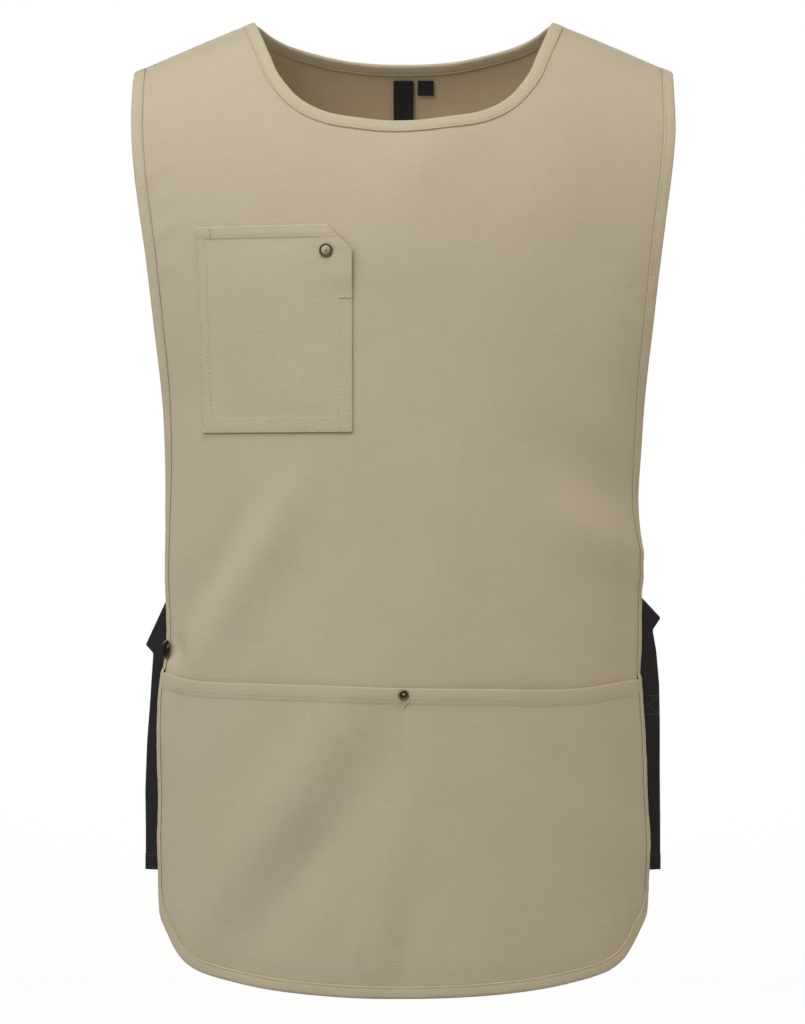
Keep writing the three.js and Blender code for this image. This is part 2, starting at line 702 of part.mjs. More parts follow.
// How far the pouch stands off the panel: two soft mouths, one each side of the middle seam
function gapeAt(p, base) {
  if (p.sewn) return 0;
  const down = (-base.z - POUCH_TOP) / (LENGTH - POUCH_TOP);
  const fade = THREE.MathUtils.clamp(1 - down / 0.8, 0, 1);
  const side = (Math.abs(base.x) - HEM_HEIGHT) / (0.8 * CHEST_HALF - HEM_HEIGHT);
  const hump = Math.max(0, Math.sin(Math.PI * THREE.MathUtils.clamp(side, 0, 1)));
  return GAPE * hump * fade * fade;
}
const inHem = (p, base) => !p.sewn && -base.z < mouthDrop(base.x) + HEM_HEIGHT + 0.5 * HEM_STEP;
root.add(sheetOf(
  "front_pouch", frontPanel, frontPanel.facets.filter((f) => f.low),
  (p, base) => POUCH_AT + POCKET_CLOTH + gapeAt(p, base) + (inHem(p, base) ? HEM_EXTRA : 0),
  (p, base) => POUCH_AT + gapeAt(p, base),
));

// Sheet over a grid of picture places (x, z), rows from the top down
function patchOf(name, face, rows, outer, inner) {
  const places = [];
  const facets = [];
  const n = rows[0].length;
  rows.forEach((row, i) => row.forEach((p, j) => places.push({ ...face.place(p.x, p.z), row: i, col: j })));
  for (let i = 0; i + 1 < rows.length; i += 1) {
    for (let j = 0; j + 1 < n; j += 1) {
      const a = i * n + j;
      facets.push({ corners: [a, a + n, a + n + 1, a + 1] });
    }
  }
  return sheetOf(name, { face, places }, facets, outer, inner);
}

// Chest pocket, with a hem along its top and one corner cut off
const pocketDowns = [0, POCKET_HEM, POCKET_HEM + HEM_STEP, POCKET_CUT];
for (let i = 1; i <= 9; i += 1) pocketDowns.push(POCKET_CUT + ((POCKET_TALL - POCKET_CUT) * i) / 9);
const POCKET_SLANT = 5; // the outer edge leans in by this towards the bottom
const pocketRows = pocketDowns.map((d) => {
  const left = -POCKET_LEFT + (POCKET_SLANT * d) / POCKET_TALL;
  const right = -POCKET_LEFT + POCKET_WIDE - Math.max(0, POCKET_CUT - d);
  return even(left, right, 8).map((x) => ({ x, z: -POCKET_TOP - d }));
});
const POCKET_GAPE = 2.2; // open stretch of the pocket's inner edge stands off
const POCKET_OPEN = 56; // from the top down to the bar tack
function pocketLift(p) {
  const d = pocketDowns[p.row];
  const open = THREE.MathUtils.clamp(1 - Math.abs(d - POCKET_OPEN / 2) / (POCKET_OPEN / 2), 0, 1);
  const edge = Math.max(0, p.col - 5) / 3;
  return POCKET_GAPE * open * edge * edge;
}
const POCKET_AT = half + PATCH_GAP;
root.add(patchOf(
  "chest_pocket", front, pocketRows,
  (p) => POCKET_AT + POCKET_CLOTH + pocketLift(p) + (p.row < 2 ? HEM_EXTRA : 0),
  (p) => POCKET_AT + pocketLift(p),
));

// Labels inside the back of the neck, hanging from the edge of the neck binding
function labelOf(name, middle, wide, long) {
  const top = -BACK_NECK_DROP - BINDING_WIDE - GAP - 0.4;
  const rows = even(0, long, 3).map((d) =>
    even(middle - wide / 2, middle + wide / 2, 2).map((x) => ({ x, z: top - d })),
  );
  const at = -half - LABEL_CLEAR;
  return patchOf(name, back, rows, () => at, () => at - LABEL_THICK);
}
root.add(labelOf("neck_label", 0, LABEL_WIDE, LABEL_LONG));
root.add(labelOf("size_label", LABEL_WIDE / 2 + LABEL_SPACE + SIZE_WIDE / 2, SIZE_WIDE, SIZE_LONG));

// Turned piece: profile of radius and height from the bottom centre to the top centre
function turnedBody(name, profile, sides, origin, normal) {
  const turn = new THREE.Quaternion().setFromUnitVectors(new THREE.Vector3(0, 0, 1), normal);
  const points = [];
  const triangles = [];
  const put = (x, y, z) => points.push(new THREE.Vector3(x, y, z).applyQuaternion(turn).add(origin)) - 1;
  const bottom = put(0, 0, profile[0].high);
  const rings = profile.slice(1, -1).map((r) =>
    even(0, 2 * Math.PI, sides).slice(0, -1).map((a) => put(r.radius * Math.cos(a), r.radius * Math.sin(a), r.high)),
  );
  const top = put(0, 0, profile[profile.length - 1].high);
  for (let i = 0; i < sides; i += 1) {
    const j = (i + 1) % sides;
    triangles.push([bottom, rings[0][j], rings[0][i]]);
    for (let k = 0; k + 1 < rings.length; k += 1) {
      triangles.push([rings[k][i], rings[k][j], rings[k + 1][j]], [rings[k][i], rings[k + 1][j], rings[k + 1][i]]);
    }
    triangles.push([rings[rings.length - 1][i], rings[rings.length - 1][j], top]);
  }
  return bodyOf(name, points, triangles);
}

const buttonProfile = (r, h) => [
  { radius: 0, high: 0 },
  { radius: 0.96 * r, high: 0 },
  { radius: r, high: 0.35 * h },
  { radius: 0.9 * r, high: 0.85 * h },
  { radius: 0.7 * r, high: 0.95 * h },
  { radius: 0.52 * r, high: 0.55 * h },
  { radius: 0.34 * r, high: 0.6 * h },
  { radius: 0.2 * r, high: h },
  { radius: 0, high: h },
];
const capProfile = (r, h) => [
  { radius: 0, high: 0 },
  { radius: 0.9 * r, high: 0 },
  { radius: r, high: 0.25 * h },
  { radius: 0.95 * r, high: 0.55 * h },
  { radius: 0.75 * r, high: 0.85 * h },
  { radius: 0.4 * r, high: h },
  { radius: 0, high: h },
];

function buttonOn(name, face, place, off, profile, sides) {
  const normal = face.across(place.t, place.v, (a, b) => face.base(a, b));
  return turnedBody(name, profile, sides, face.at(place.t, place.v, off), normal);
}
root.add(buttonOn(
  "pouch_rivet", front, front.place(0, -POUCH_TOP - HEM_HEIGHT / 2),
  POUCH_AT + POCKET_CLOTH + HEM_EXTRA + GAP, buttonProfile(POUCH_RIVET_R, RIVET_HIGH), 16,
));
root.add(buttonOn(
  "pocket_rivet", front, front.place(-POCKET_LEFT + POCKET_WIDE - POCKET_CUT, -POCKET_TOP - POCKET_CUT),
  POCKET_AT + POCKET_CLOTH + 2 * GAP + 0.3 * POCKET_GAPE, buttonProfile(POCKET_RIVET_R, RIVET_HIGH), 16,
));
const snapLength = frontPanel.outline.where((p, q) => -q.z - SNAP_DROP, false);
frontPanel.outline.stations.push(snapLength, frontPanel.outline.total);
const snapPlace = frontPanel.outline.inset(frontPanel.outline.stations.length - 2, SNAP_INSET);
frontPanel.outline.stations.length -= 2;
root.add(buttonOn(
  "side_snap", front, snapPlace, PLY_AT + BINDING_PLY + 2 * GAP, capProfile(SNAP_R, SNAP_HIGH), 16,
));

// Flat strap through stations, each with its two edge points, thickness direction and half thickness
const BOX_CAPS = [[0, 1, 2, 3]];
function strapBody(name, stations) {
  const sections = stations.map((s) => [
    s.a.clone().addScaledVector(s.n, s.half),
    s.b.clone().addScaledVector(s.n, s.half),
    s.b.clone().addScaledVector(s.n, -s.half),
    s.a.clone().addScaledVector(s.n, -s.half),
  ]);
  // Both faces of a twisted stretch are split along the same diagonal
  return sweptBody(name, sections, false, BOX_CAPS, (i) => i === 2);
}

// Hanging end of each strap. down: share of LENGTH. out: outer edge from the panel's side edge, as a share
// of STRAP_WIDE. turn: share of STRAP_TURN.
const TAIL_LEFT = [
  { down: 0.6573, out: 0.72, turn: 1.0 },
  { down: 0.677, out: 0.78, turn: 1.0 },
  { down: 0.71, out: 0.87, turn: 0.95 },
  { down: 0.75, out: 1.0, turn: 0.85 },
  { down: 0.8, out: 1.08, turn: 0.72 },
  { down: 0.84, out: 1.06, turn: 0.66 },
];
const TAIL_RIGHT = [
  { down: 0.633, out: 0.68, turn: 1.0 },
  { down: 0.655, out: 0.84, turn: 1.0 },
  { down: 0.69, out: 0.97, turn: 0.95 },
  { down: 0.73, out: 1.0, turn: 0.85 },
  { down: 0.78, out: 1.0, turn: 0.75 },
  { down: 0.83, out: 1.02, turn: 0.7 },
];

// Where the strap folds over itself, from its upper inner end to its lower outer end, seen square on.
// out: shares of STRAP_WIDE from the panel's side edge. down: shares of LENGTH.
const SIDES = [
  {
    hand: "left", sign: -1, tilt: -25, out: -0.32, down: 0.6094, sewnLower: -0.006, tail: TAIL_LEFT,
    fold: [{ out: 0.152, down: 0.599 }, { out: 1.09, down: 0.648 }],
  },
  {
    hand: "right", sign: 1, tilt: 14, out: -0.32, down: 0.6165, sewnLower: 0.019, tail: TAIL_RIGHT,
    fold: [{ out: 0.2, down: 0.5976 }, { out: 1.06, down: 0.6197 }],
  },
];

for (const side of SIDES) {
  const halfStrap = STRAP_THICK / 2;
  const turned = (share) => THREE.MathUtils.degToRad(STRAP_TURN * share);
  const outDir = (share) => new THREE.Vector3(side.sign * Math.cos(turned(share)), Math.sin(turned(share)), 0);
  const faceDir = (share) => new THREE.Vector3(side.sign * Math.sin(turned(share)), -Math.cos(turned(share)), 0);
  const out0 = outDir(1);
  const n0 = faceDir(1);
  const up = new THREE.Vector3(0, 0, 1);
  const centreDown = side.down * LENGTH;
  const edgeDrop = centreDown + shoulderLine(0.87 * CHEST_HALF);
  const edge = front.base(side.sign * Math.asin(wrapAt(edgeDrop)), front.wayOf(edgeDrop));
  const home = new THREE.Vector3(edge.x, edge.y, 0).addScaledVector(n0, -STRAP_BEHIND);
  const flat = (o, down, n) =>
    home.clone().addScaledVector(out0, o).addScaledVector(n0, n).addScaledVector(up, -down);

  // Buckle: bars along b, strap runs along e
  const tilt = THREE.MathUtils.degToRad(side.tilt);
  const e = out0.clone().multiplyScalar(Math.cos(tilt)).addScaledVector(up, Math.sin(tilt));
  const b = out0.clone().multiplyScalar(-Math.sin(tilt)).addScaledVector(up, Math.cos(tilt));
  const centre = flat(side.out * STRAP_WIDE, centreDown, 0);
  const pitch = BUCKLE_BAR + BUCKLE_SLOT;
  const local = (s, w, n) =>
    centre.clone().addScaledVector(e, s).addScaledVector(b, w).addScaledVector(n0, n);
  const slotHalf = STRAP_WIDE / 2 + BUCKLE_SIDE;
  const frameHalf = slotHalf + BUCKLE_BAR;
  const frameReach = pitch + BUCKLE_BAR / 2;
  const chamfer = 0.6 * BUCKLE_BAR;
  const slot = BUCKLE_SLOT / 2;
  const acrossStops = [-frameReach, -pitch / 2 - slot, -pitch / 2 + slot, pitch / 2 - slot, pitch / 2 + slot, frameReach];
  const alongStops = [-frameHalf, -slotHalf, slotHalf, frameHalf];
  const framePoints = [];
  const frameTriangles = [];
  const known = new Map();
  const corner = (x, y) => {
    const key = x.toFixed(4) + "," + y.toFixed(4);
    if (!known.has(key)) {
      known.set(key, framePoints.length);
      framePoints.push(local(x, y, BUCKLE_THICK / 2), local(x, y, -BUCKLE_THICK / 2));
    }
    return known.get(key);
  };
  const rims = new Map();
  for (let i = 0; i < 5; i += 1) {
    for (let j = 0; j < 3; j += 1) {
      if (j === 1 && i % 2 === 1) continue;
      const [x0, x1] = [acrossStops[i], acrossStops[i + 1]];
      const [y0, y1] = [alongStops[j], alongStops[j + 1]];
      const ring = [];
      for (const [x, y, inX, inY] of [[x0, y0, 1, 1], [x1, y0, -1, 1], [x1, y1, -1, -1], [x0, y1, 1, -1]]) {
        const sharp = Math.abs(x) > frameReach - 0.01 && Math.abs(y) > frameHalf - 0.01;
        if (!sharp) {
          ring.push(corner(x, y));
        } else if (inX * inY > 0) {
          ring.push(corner(x, y + inY * chamfer), corner(x + inX * chamfer, y));
        } else {
          ring.push(corner(x + inX * chamfer, y), corner(x, y + inY * chamfer));
        }
      }
      for (let k = 1; k + 1 < ring.length; k += 1) {
        frameTriangles.push([ring[0], ring[k], ring[k + 1]]);
        frameTriangles.push([ring[k + 1] + 1, ring[k] + 1, ring[0] + 1]);
      }
      ring.forEach((c, k) => {
        const d = ring[(k + 1) % ring.length];
        if (!rims.delete(d + "," + c)) rims.set(c + "," + d, [c, d]);
      });
    }
  }
  for (const [c, d] of rims.values()) frameTriangles.push([d, c, c + 1], [d, c + 1, d + 1]);
  root.add(bodyOf(side.hand + "_slide_buckle", framePoints, frameTriangles));

  // Strap: sewn inside the back panel, forward along the side, round the middle bar, back out over
  // the outer bar, folded over itself and hanging down
  const ply = BUCKLE_THICK / 2 + GAP + halfStrap;
  const w2 = STRAP_WIDE / 2;
  const stations = [];
  const put = (a, c, n, h = halfStrap) => stations.push({ a, b: c, n: n.clone().normalize(), half: h });
  const backEdgeDrop = centreDown + shoulderLine(0.87 * CHEST_HALF) + 0.02 * LENGTH;
  const sewnOff = -(PLY_AT + BINDING_PLY + GAP + halfStrap);
  const onBack = (s, dz) => {
    const drop = backEdgeDrop - dz;
    const t = side.sign * Math.asin(wrapAt(drop));
    const edgeAt = back.base(t, back.wayOf(drop));
    const p = { t, v: back.wayOf(drop) };
    const inner = back.base(t * 0.98, p.v).sub(edgeAt).normalize();
    const q = back.shifted(back.shifted(p, inner.clone().multiplyScalar(s / 2)), inner.multiplyScalar(s / 2));
    return { point: back.at(q.t, q.v, sewnOff), normal: back.across(q.t, q.v, (x, y) => back.base(x, y)) };
  };
  for (const s of [STRAP_SEWN, 0.6 * STRAP_SEWN, 0.2 * STRAP_SEWN]) {
    const hi = onBack(s, w2);
    const lo = onBack(s, -w2);
    put(hi.point, lo.point, hi.normal.clone().add(lo.normal).normalize());
  }
  const lastHi = stations[stations.length - 1].a.clone();
  const lastLo = stations[stations.length - 1].b.clone();
  const lastN = stations[stations.length - 1].n.clone();
  const firstHi = local(frameReach + 3, w2, -ply);
  const firstLo = local(frameReach + 3, -w2, -ply);
  for (const k of [0.3, 0.55, 0.8]) {
    const bow = 4 * k * (1 - k) * 3;
    const shift = new THREE.Vector3(side.sign * bow, 0, 0);
    put(
      lastHi.clone().lerp(firstHi, k).add(shift), lastLo.clone().lerp(firstLo, k).add(shift),
      lastN.clone().lerp(n0, k),
    );
  }
  put(firstHi, firstLo, n0);
  put(local(-1, w2, -ply), local(-1, -w2, -ply), n0);
  const turnAt = BUCKLE_BAR / 2 + 1.5 * GAP + halfStrap;
  const outwards = e.clone().negate();
  const diag = (k) => n0.clone().multiplyScalar(k).addScaledVector(outwards, -1);
  const bend = (halfStrap + GAP) * Math.SQRT1_2;
  const bendS = -BUCKLE_BAR / 2 - bend;
  const bendN = BUCKLE_THICK / 2 + bend;
  put(local(bendS, w2, -bendN), local(bendS, -w2, -bendN), diag(1));
  put(local(-turnAt, w2, 0), local(-turnAt, -w2, 0), diag(0));
  put(local(bendS, w2, bendN), local(bendS, -w2, bendN), diag(-1));
  put(local(-1, w2, ply), local(-1, -w2, ply), n0.clone().negate());

  // Fold: the lower ply reaches the fold line, turns round it and comes back as the upper ply
  const rise = STRAP_THICK + GAP;
  const f1 = side.fold[0];
  const f2 = side.fold[1];
  const lineA = flat(f1.out * STRAP_WIDE, f1.down * LENGTH, 0);
  const lineB = flat(f2.out * STRAP_WIDE, f2.down * LENGTH, 0);
  const lineDir = lineB.clone().sub(lineA).normalize();
  const away = lineDir.clone().cross(n0).normalize();
  if (away.dot(e) < 0) away.negate();
  const fold = (d, n) => [
    lineA.clone().addScaledVector(away, d).addScaledVector(n0, n),
    lineB.clone().addScaledVector(away, d).addScaledVector(n0, n),
  ];
  const [a1, b1] = fold(-halfStrap - 0.2, ply);
  put(a1, b1, n0.clone().negate());
  const [a2, b2] = fold(0, ply + rise / 2);
  put(a2, b2, away.clone().negate());
  const [a3, b3] = fold(-halfStrap - 0.2, ply + rise);
  put(a3, b3, n0);
  const tail = (row, extra = 0, h = halfStrap) => {
    const outer = flat(row.out * STRAP_WIDE, row.down * LENGTH + extra, ply + rise);
    put(outer.clone().addScaledVector(outDir(row.turn), -STRAP_WIDE), outer, faceDir(row.turn), h);
  };
  for (const row of side.tail) tail(row);
  const end = side.tail[side.tail.length - 1];
  const hemStart = { ...end, down: (TAIL_END - TAIL_HEM) / LENGTH };
  tail(hemStart);
  tail(hemStart, 0.8, STRAP_THICK);
  tail({ ...end, down: TAIL_END / LENGTH }, 0, STRAP_THICK);
  root.add(strapBody(side.hand + "_side_strap", stations));

  // Loop that holds the buckle's inner bar, sewn behind the front panel's side edge
  const loop = [];
  const halfLoop = ANCHOR_THICK / 2;
  const bar = -pitch;
  const around = BUCKLE_BAR / 2 + 1.5 * GAP + halfLoop;
  const level = BUCKLE_THICK / 2 + GAP + halfLoop;
  const sewn = (s, dz, off) => {
    const drop = edgeDrop + side.sewnLower * LENGTH - dz;
    const t = side.sign * Math.asin(wrapAt(drop));
    let q = { t, v: front.wayOf(drop) };
    for (let i = 0; i < 4; i += 1) {
      const step = front.base(q.t - side.sign * 0.01, q.v).sub(front.base(q.t, q.v)).normalize();
      q = front.shifted(q, step.multiplyScalar(s / 4));
    }
    return { point: front.at(q.t, q.v, off), normal: front.across(q.t, q.v, (x, y) => front.base(x, y)) };
  };
  const ride = (s, off) => {
    const hi = sewn(s, w2, off);
    const lo = sewn(s, -w2, off);
    loop.push({ a: hi.point, b: lo.point, n: hi.normal.clone().add(lo.normal).normalize(), half: halfLoop });
  };
  const first = -(half + PATCH_GAP + halfLoop);
  const second = first - ANCHOR_THICK - GAP;
  for (const s of [52, 44, 37, 30]) ride(s, first);
  const loopAt = (s, n, dir) => {
    loop.push({ a: local(s, w2, n), b: local(s, -w2, n), n: dir.clone().normalize(), half: halfLoop });
  };
  const loopBend = (halfLoop + GAP) * Math.SQRT1_2;
  const loopS = bar + BUCKLE_BAR / 2 + loopBend;
  const loopN = BUCKLE_THICK / 2 + loopBend;
  loopAt(bar - 1, level, n0);
  loopAt(bar + 1, level, n0);
  loopAt(loopS, loopN, n0.clone().add(e));
  loopAt(bar + around, 0, e);
  loopAt(loopS, -loopN, e.clone().sub(n0));
  loopAt(bar + 1, -level, n0.clone().negate());
  loopAt(bar - 1, -level, n0.clone().negate());
  loopAt(bar - BUCKLE_BAR / 2 - loopBend, -loopN, n0.clone().add(e).negate());
  const flip = loop.length;
  for (const s of [33, 40, 47]) ride(s, second);
  for (let i = flip; i < loop.length; i += 1) loop[i].n.negate();
  const bridge = (from, to) =>
    [1 / 3, 2 / 3].map((k) => ({
      a: from.a.clone().lerp(to.a, k),
      b: from.b.clone().lerp(to.b, k),
      n: from.n.clone().lerp(to.n, k).normalize(),
      half: halfLoop,
    }));
  loop.splice(flip, 0, ...bridge(loop[flip - 1], loop[flip]));
  loop.splice(4, 0, ...bridge(loop[3], loop[4]));
  root.add(strapBody(side.hand + "_strap_anchor", loop));
}

export default root;
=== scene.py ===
# %% [markdown]
# # A cobbler apron in khaki canvas
#
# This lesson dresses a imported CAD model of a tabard. The model is the fixed frame: it says where each
# panel, strap and rivet lies, in metres, with +Z up and the wearer facing -Y. A CAD solid shows only
# the outline of cloth, so the sewn pieces are made again here as fine meshes with rolled edges,
# folds and stitches.

# %% Load the frame
import math

import bpy
import numpy as np
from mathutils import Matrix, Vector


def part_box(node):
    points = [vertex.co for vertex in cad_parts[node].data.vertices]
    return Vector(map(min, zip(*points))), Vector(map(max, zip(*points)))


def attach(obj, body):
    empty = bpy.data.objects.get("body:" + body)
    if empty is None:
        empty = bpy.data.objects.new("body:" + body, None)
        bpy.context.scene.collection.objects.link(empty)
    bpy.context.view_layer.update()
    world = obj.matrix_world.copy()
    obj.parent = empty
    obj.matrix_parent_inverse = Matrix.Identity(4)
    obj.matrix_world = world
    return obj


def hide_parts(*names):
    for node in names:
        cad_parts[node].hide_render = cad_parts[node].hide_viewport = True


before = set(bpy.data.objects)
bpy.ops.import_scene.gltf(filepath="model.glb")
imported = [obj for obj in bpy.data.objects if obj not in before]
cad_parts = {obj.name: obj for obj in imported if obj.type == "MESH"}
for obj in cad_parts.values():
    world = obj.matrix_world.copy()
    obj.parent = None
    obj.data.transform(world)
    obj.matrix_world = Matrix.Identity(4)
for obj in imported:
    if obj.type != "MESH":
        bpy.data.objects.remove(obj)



def linked(name, data):
    """A new object in the scene."""
    obj = bpy.data.objects.new(name, data)
    bpy.context.scene.collection.objects.link(obj)
    return obj


for name in ("Cube", "Light", "Camera"):
    if name in bpy.data.objects:
        bpy.data.objects.remove(bpy.data.objects[name])
bpy.context.view_layer.update()

# %% [markdown]
# ## Camera
#
# A long lens from three metres away gives the flat view of a catalogue picture. The camera is level
# with the middle of the apron, so verticals stay upright and no lens shift is needed.

# %% Camera
PICTURE_TALL = 1024
FOCAL_PIXELS = 3750
SENSOR = 36.0
LENS_AT = (-0.0008, -3.0, -0.3896)

camera_data = bpy.data.cameras.new("front_camera")
camera_data.sensor_width = SENSOR
camera_data.lens = FOCAL_PIXELS / PICTURE_TALL * SENSOR
camera = linked("front_camera", camera_data)
camera.location = LENS_AT
camera.rotation_euler = (math.radians(90), 0, 0)
bpy.context.scene.camera = camera
print("lens:", round(camera_data.lens, 1), "mm")

# %% [markdown]
# ## Sizes of the apron
#
# The sizes are a tailor's, in millimetres, and they are the same as in the CAD model. Every mesh is
# turned to metres once, when it is made. Shares of a length are kept in tables, so that the shape
# can be read as a pattern is.

# %% Sizes
MM = 0.001
LENGTH = 763
CHEST_HALF = 214
SHOULDER_FALL = 40
NECK_HALF = 118
FRONT_NECK_DROP = 88
BACK_NECK_DROP = 24.5
FRONT_DEPTH, BACK_DEPTH, SIDE_BASE = 125, 115, 20
FRONT_ROUND, BACK_ROUND = 220, 180
CANVAS, POCKET_CLOTH, HEM_EXTRA, HEM_HEIGHT = 1.2, 1.0, 0.8, 10
BINDING_WIDE, BINDING_PLY = 10, 1.0
GAP, SEAM_GAP, PATCH_GAP = 0.3, 0.4, 0.5
FOLD_DEPTH, GAPE = 3, 3
POUCH_TOP = 524.5
POCKET_TOP, POCKET_TALL, POCKET_LEFT, POCKET_WIDE, POCKET_CUT = 169, 159.5, 160, 121, 20
POCKET_HEM, POCKET_SLANT, POCKET_OPEN, POCKET_GAPE = 8.5, 5, 56, 2.2
PLY_AT = CANVAS / 2 + GAP
RAISED_AT = PLY_AT + POCKET_CLOTH + GAP
CUT_IN = BINDING_PLY + GAP

# %% [markdown]
# ## Lines of the pattern
#
# The side edge is a table of half widths down the apron. The last column says how far the cloth has
# turned round the body at that edge. The hem and the two necklines are tables of points. A cubic
# line through the rows keeps each edge smooth, as a cutter's curve is.

# %% Pattern tables
# share of the length down, half width left, half width right, turn at the edge
EDGE = np.array([
    (0.0, 1.001, 1.001, 0.68), (0.029, 1.001, 0.998, 0.71), (0.0665, 0.998, 0.997, 0.75),
    (0.11, 0.985, 0.982, 0.785), (0.154, 0.965, 0.962, 0.82), (0.198, 0.943, 0.943, 0.85),
    (0.241, 0.925, 0.925, 0.88), (0.283, 0.909, 0.909, 0.9), (0.326, 0.892, 0.892, 0.923),
    (0.368, 0.879, 0.879, 0.945), (0.41, 0.873, 0.871, 0.955), (0.462, 0.8705, 0.867, 0.968),
    (0.555, 0.872, 0.868, 0.978), (0.607, 0.8735, 0.87, 0.978), (0.648, 0.883, 0.865, 0.978),
    (0.708, 0.894, 0.879, 0.978), (0.77, 0.891, 0.887, 0.978), (0.811, 0.894, 0.896, 0.978),
    (0.863, 0.89, 0.89, 0.978), (1.1, 0.89, 0.89, 0.978),
])
SIDE_END = 0.863
# share of the half width out, share of the length down
HEM = np.array([
    (0.877, 0.9255), (0.8565, 0.9408), (0.8407, 0.9503), (0.821, 0.9599), (0.794, 0.9692),
    (0.7477, 0.978), (0.695, 0.9828), (0.5874, 0.989), (0.4771, 0.9936), (0.2925, 0.9979),
    (0.1, 0.9998),
])
# share of the neck's half width out, share of the neck drop down
FRONT_NECK = np.array([
    (1.0, 0.0), (0.945, 0.175), (0.886, 0.361), (0.829, 0.539), (0.747, 0.692), (0.694, 0.767),
    (0.614, 0.843), (0.482, 0.918), (0.285, 0.966), (0.1, 0.996),
])
BACK_NECK = np.array([
    (1.0, 0.0), (0.964, 0.06), (0.915, 0.2), (0.808, 0.43), (0.645, 0.65), (0.508, 0.79),
    (0.37, 0.905), (0.232, 0.963), (0.1, 0.992),
])
# share of the half width, rise of the pouch mouth as a share of the length
MOUTH = np.array([
    (-0.87, 0.0118), (-0.77, 0.006), (-0.67, 0.004), (-0.45, 0.003), (0.0, 0.0), (0.31, -0.0014),
    (0.52, -0.0029), (0.65, -0.002), (0.76, 0.002), (0.87, 0.005),
])


def line_through(xs, ys, x):
    """Height at x of a smooth line through the rows (xs, ys)."""
    x = np.clip(x, xs[0], xs[-1])
    i = np.clip(np.searchsorted(xs, x, side="right") - 1, 0, len(xs) - 2)
    mid = np.diff(ys) / np.diff(xs)
    slope = np.concatenate([mid[:1], (ys[2:] - ys[:-2]) / (xs[2:] - xs[:-2]), mid[-1:]])
    span = xs[i + 1] - xs[i]
    s = (x - xs[i]) / span
    bend = slope[i] * s * (1 - s) ** 2 - slope[i + 1] * s * s * (1 - s)
    return ys[i] + (ys[i + 1] - ys[i]) * s * s * (3 - 2 * s) + span * bend


def smooth_step(k):
    k = np.clip(k, 0, 1)
    return k * k * (3 - 2 * k)


def bell(distance, width):
    """1 at no distance, fading to both sides over a width."""
    return np.exp(-0.5 * (distance / width) ** 2)


BEND = 20


def rising(a):
    return (a + np.sqrt(a * a + BEND * BEND)) / 2


def beyond_neck(x):
    return np.abs(x) - (NECK_HALF - 0.65 * BEND)


FALL_RATE = SHOULDER_FALL / (rising(beyond_neck(CHEST_HALF)) - rising(beyond_neck(NECK_HALF)))


def shoulder_line(x):
    """Height of the shoulder seam over the point x."""
    return FALL_RATE * (rising(beyond_neck(NECK_HALF)) - rising(beyond_neck(x)))


def reach(drop, x):
    left = line_through(EDGE[:, 0], EDGE[:, 1], drop / LENGTH)
    right = line_through(EDGE[:, 0], EDGE[:, 2], drop / LENGTH)
    return CHEST_HALF * np.where(x < 0, left, right)


def wrap_at(drop):
    return line_through(EDGE[:, 0], EDGE[:, 3], drop / LENGTH)


def mouth_drop(x):
    return POUCH_TOP - LENGTH * line_through(MOUTH[:, 0], MOUTH[:, 1], x / CHEST_HALF)


print("side edge at the chest:", round(float(reach(200.0, 1.0)), 1), "mm from the middle")

# %% [markdown]
# ## Folds
#
# Canvas is stiff, so it bends in a few broad folds and some short ripples at the sewn edges. Each
# row is one soft ridge or valley: its place, its lean, its length and width, and its height. The
# first rows are those of the CAD model. The finer ones are added here.

# %% Fold tables
# side (share of half width), down (share of length), turn (degrees), long, wide (shares of length),
# lift (share of the fold depth)
FRAME_FOLDS = np.array([
    (-0.612, 0.595, 31, 0.08, 0.017, 1.0), (-0.715, 0.583, 31, 0.062, 0.015, -0.8),
    (-0.49, 0.53, 4, 0.042, 0.017, 0.5), (-0.372, 0.565, -3, 0.066, 0.023, -0.65),
    (-0.45, 0.815, 34, 0.115, 0.022, 1.0), (-0.33, 0.86, 34, 0.09, 0.02, -0.7),
    (-0.07, 0.895, 13, 0.075, 0.016, 0.6), (0.72, 0.54, -60, 0.046, 0.02, 0.7),
    (0.7, 0.475, -50, 0.05, 0.024, -0.7), (0.1, 0.15, 45, 0.05, 0.024, 0.5),
    (0.69, 0.25, 20, 0.05, 0.032, -0.5),
])
FINE_FOLDS = np.array([
    (-0.91, 0.13, 62, 0.012, 0.0045, 0.22), (-0.89, 0.16, 62, 0.013, 0.0045, 0.26),
    (-0.875, 0.19, 60, 0.012, 0.004, 0.2), (-0.86, 0.222, 58, 0.013, 0.0045, 0.24),
    (-0.85, 0.26, 58, 0.012, 0.004, 0.18), (0.845, 0.55, -55, 0.014, 0.0045, 0.28),
    (0.845, 0.575, -55, 0.014, 0.0045, 0.24), (0.84, 0.6, -55, 0.012, 0.004, 0.2),
    (-0.17, 0.955, 12, 0.02, 0.005, 0.22), (-0.08, 0.958, 6, 0.022, 0.0045, 0.24),
    (0.0, 0.96, 2, 0.02, 0.005, -0.2), (0.08, 0.958, -6, 0.02, 0.005, 0.2),
    (0.3, 0.94, -12, 0.02, 0.006, 0.18), (0.42, 0.71, -20, 0.05, 0.012, 0.3),
    (0.55, 0.78, -24, 0.07, 0.014, -0.3), (0.25, 0.86, -14, 0.06, 0.012, 0.25),
    (-0.822, 0.6535, 0, 0.011, 0.005, -1.3), (0.0, 0.2, 14, 0.1, 0.036, 0.5),
    (0.3, 0.26, 16, 0.1, 0.03, -0.35), (0.12, 0.6, 4, 0.12, 0.03, 0.35),
    (0.34, 0.62, -8, 0.1, 0.026, -0.3),
])
# the frame's folds are deeper by this share in the cloth
BOLDER = 0.75
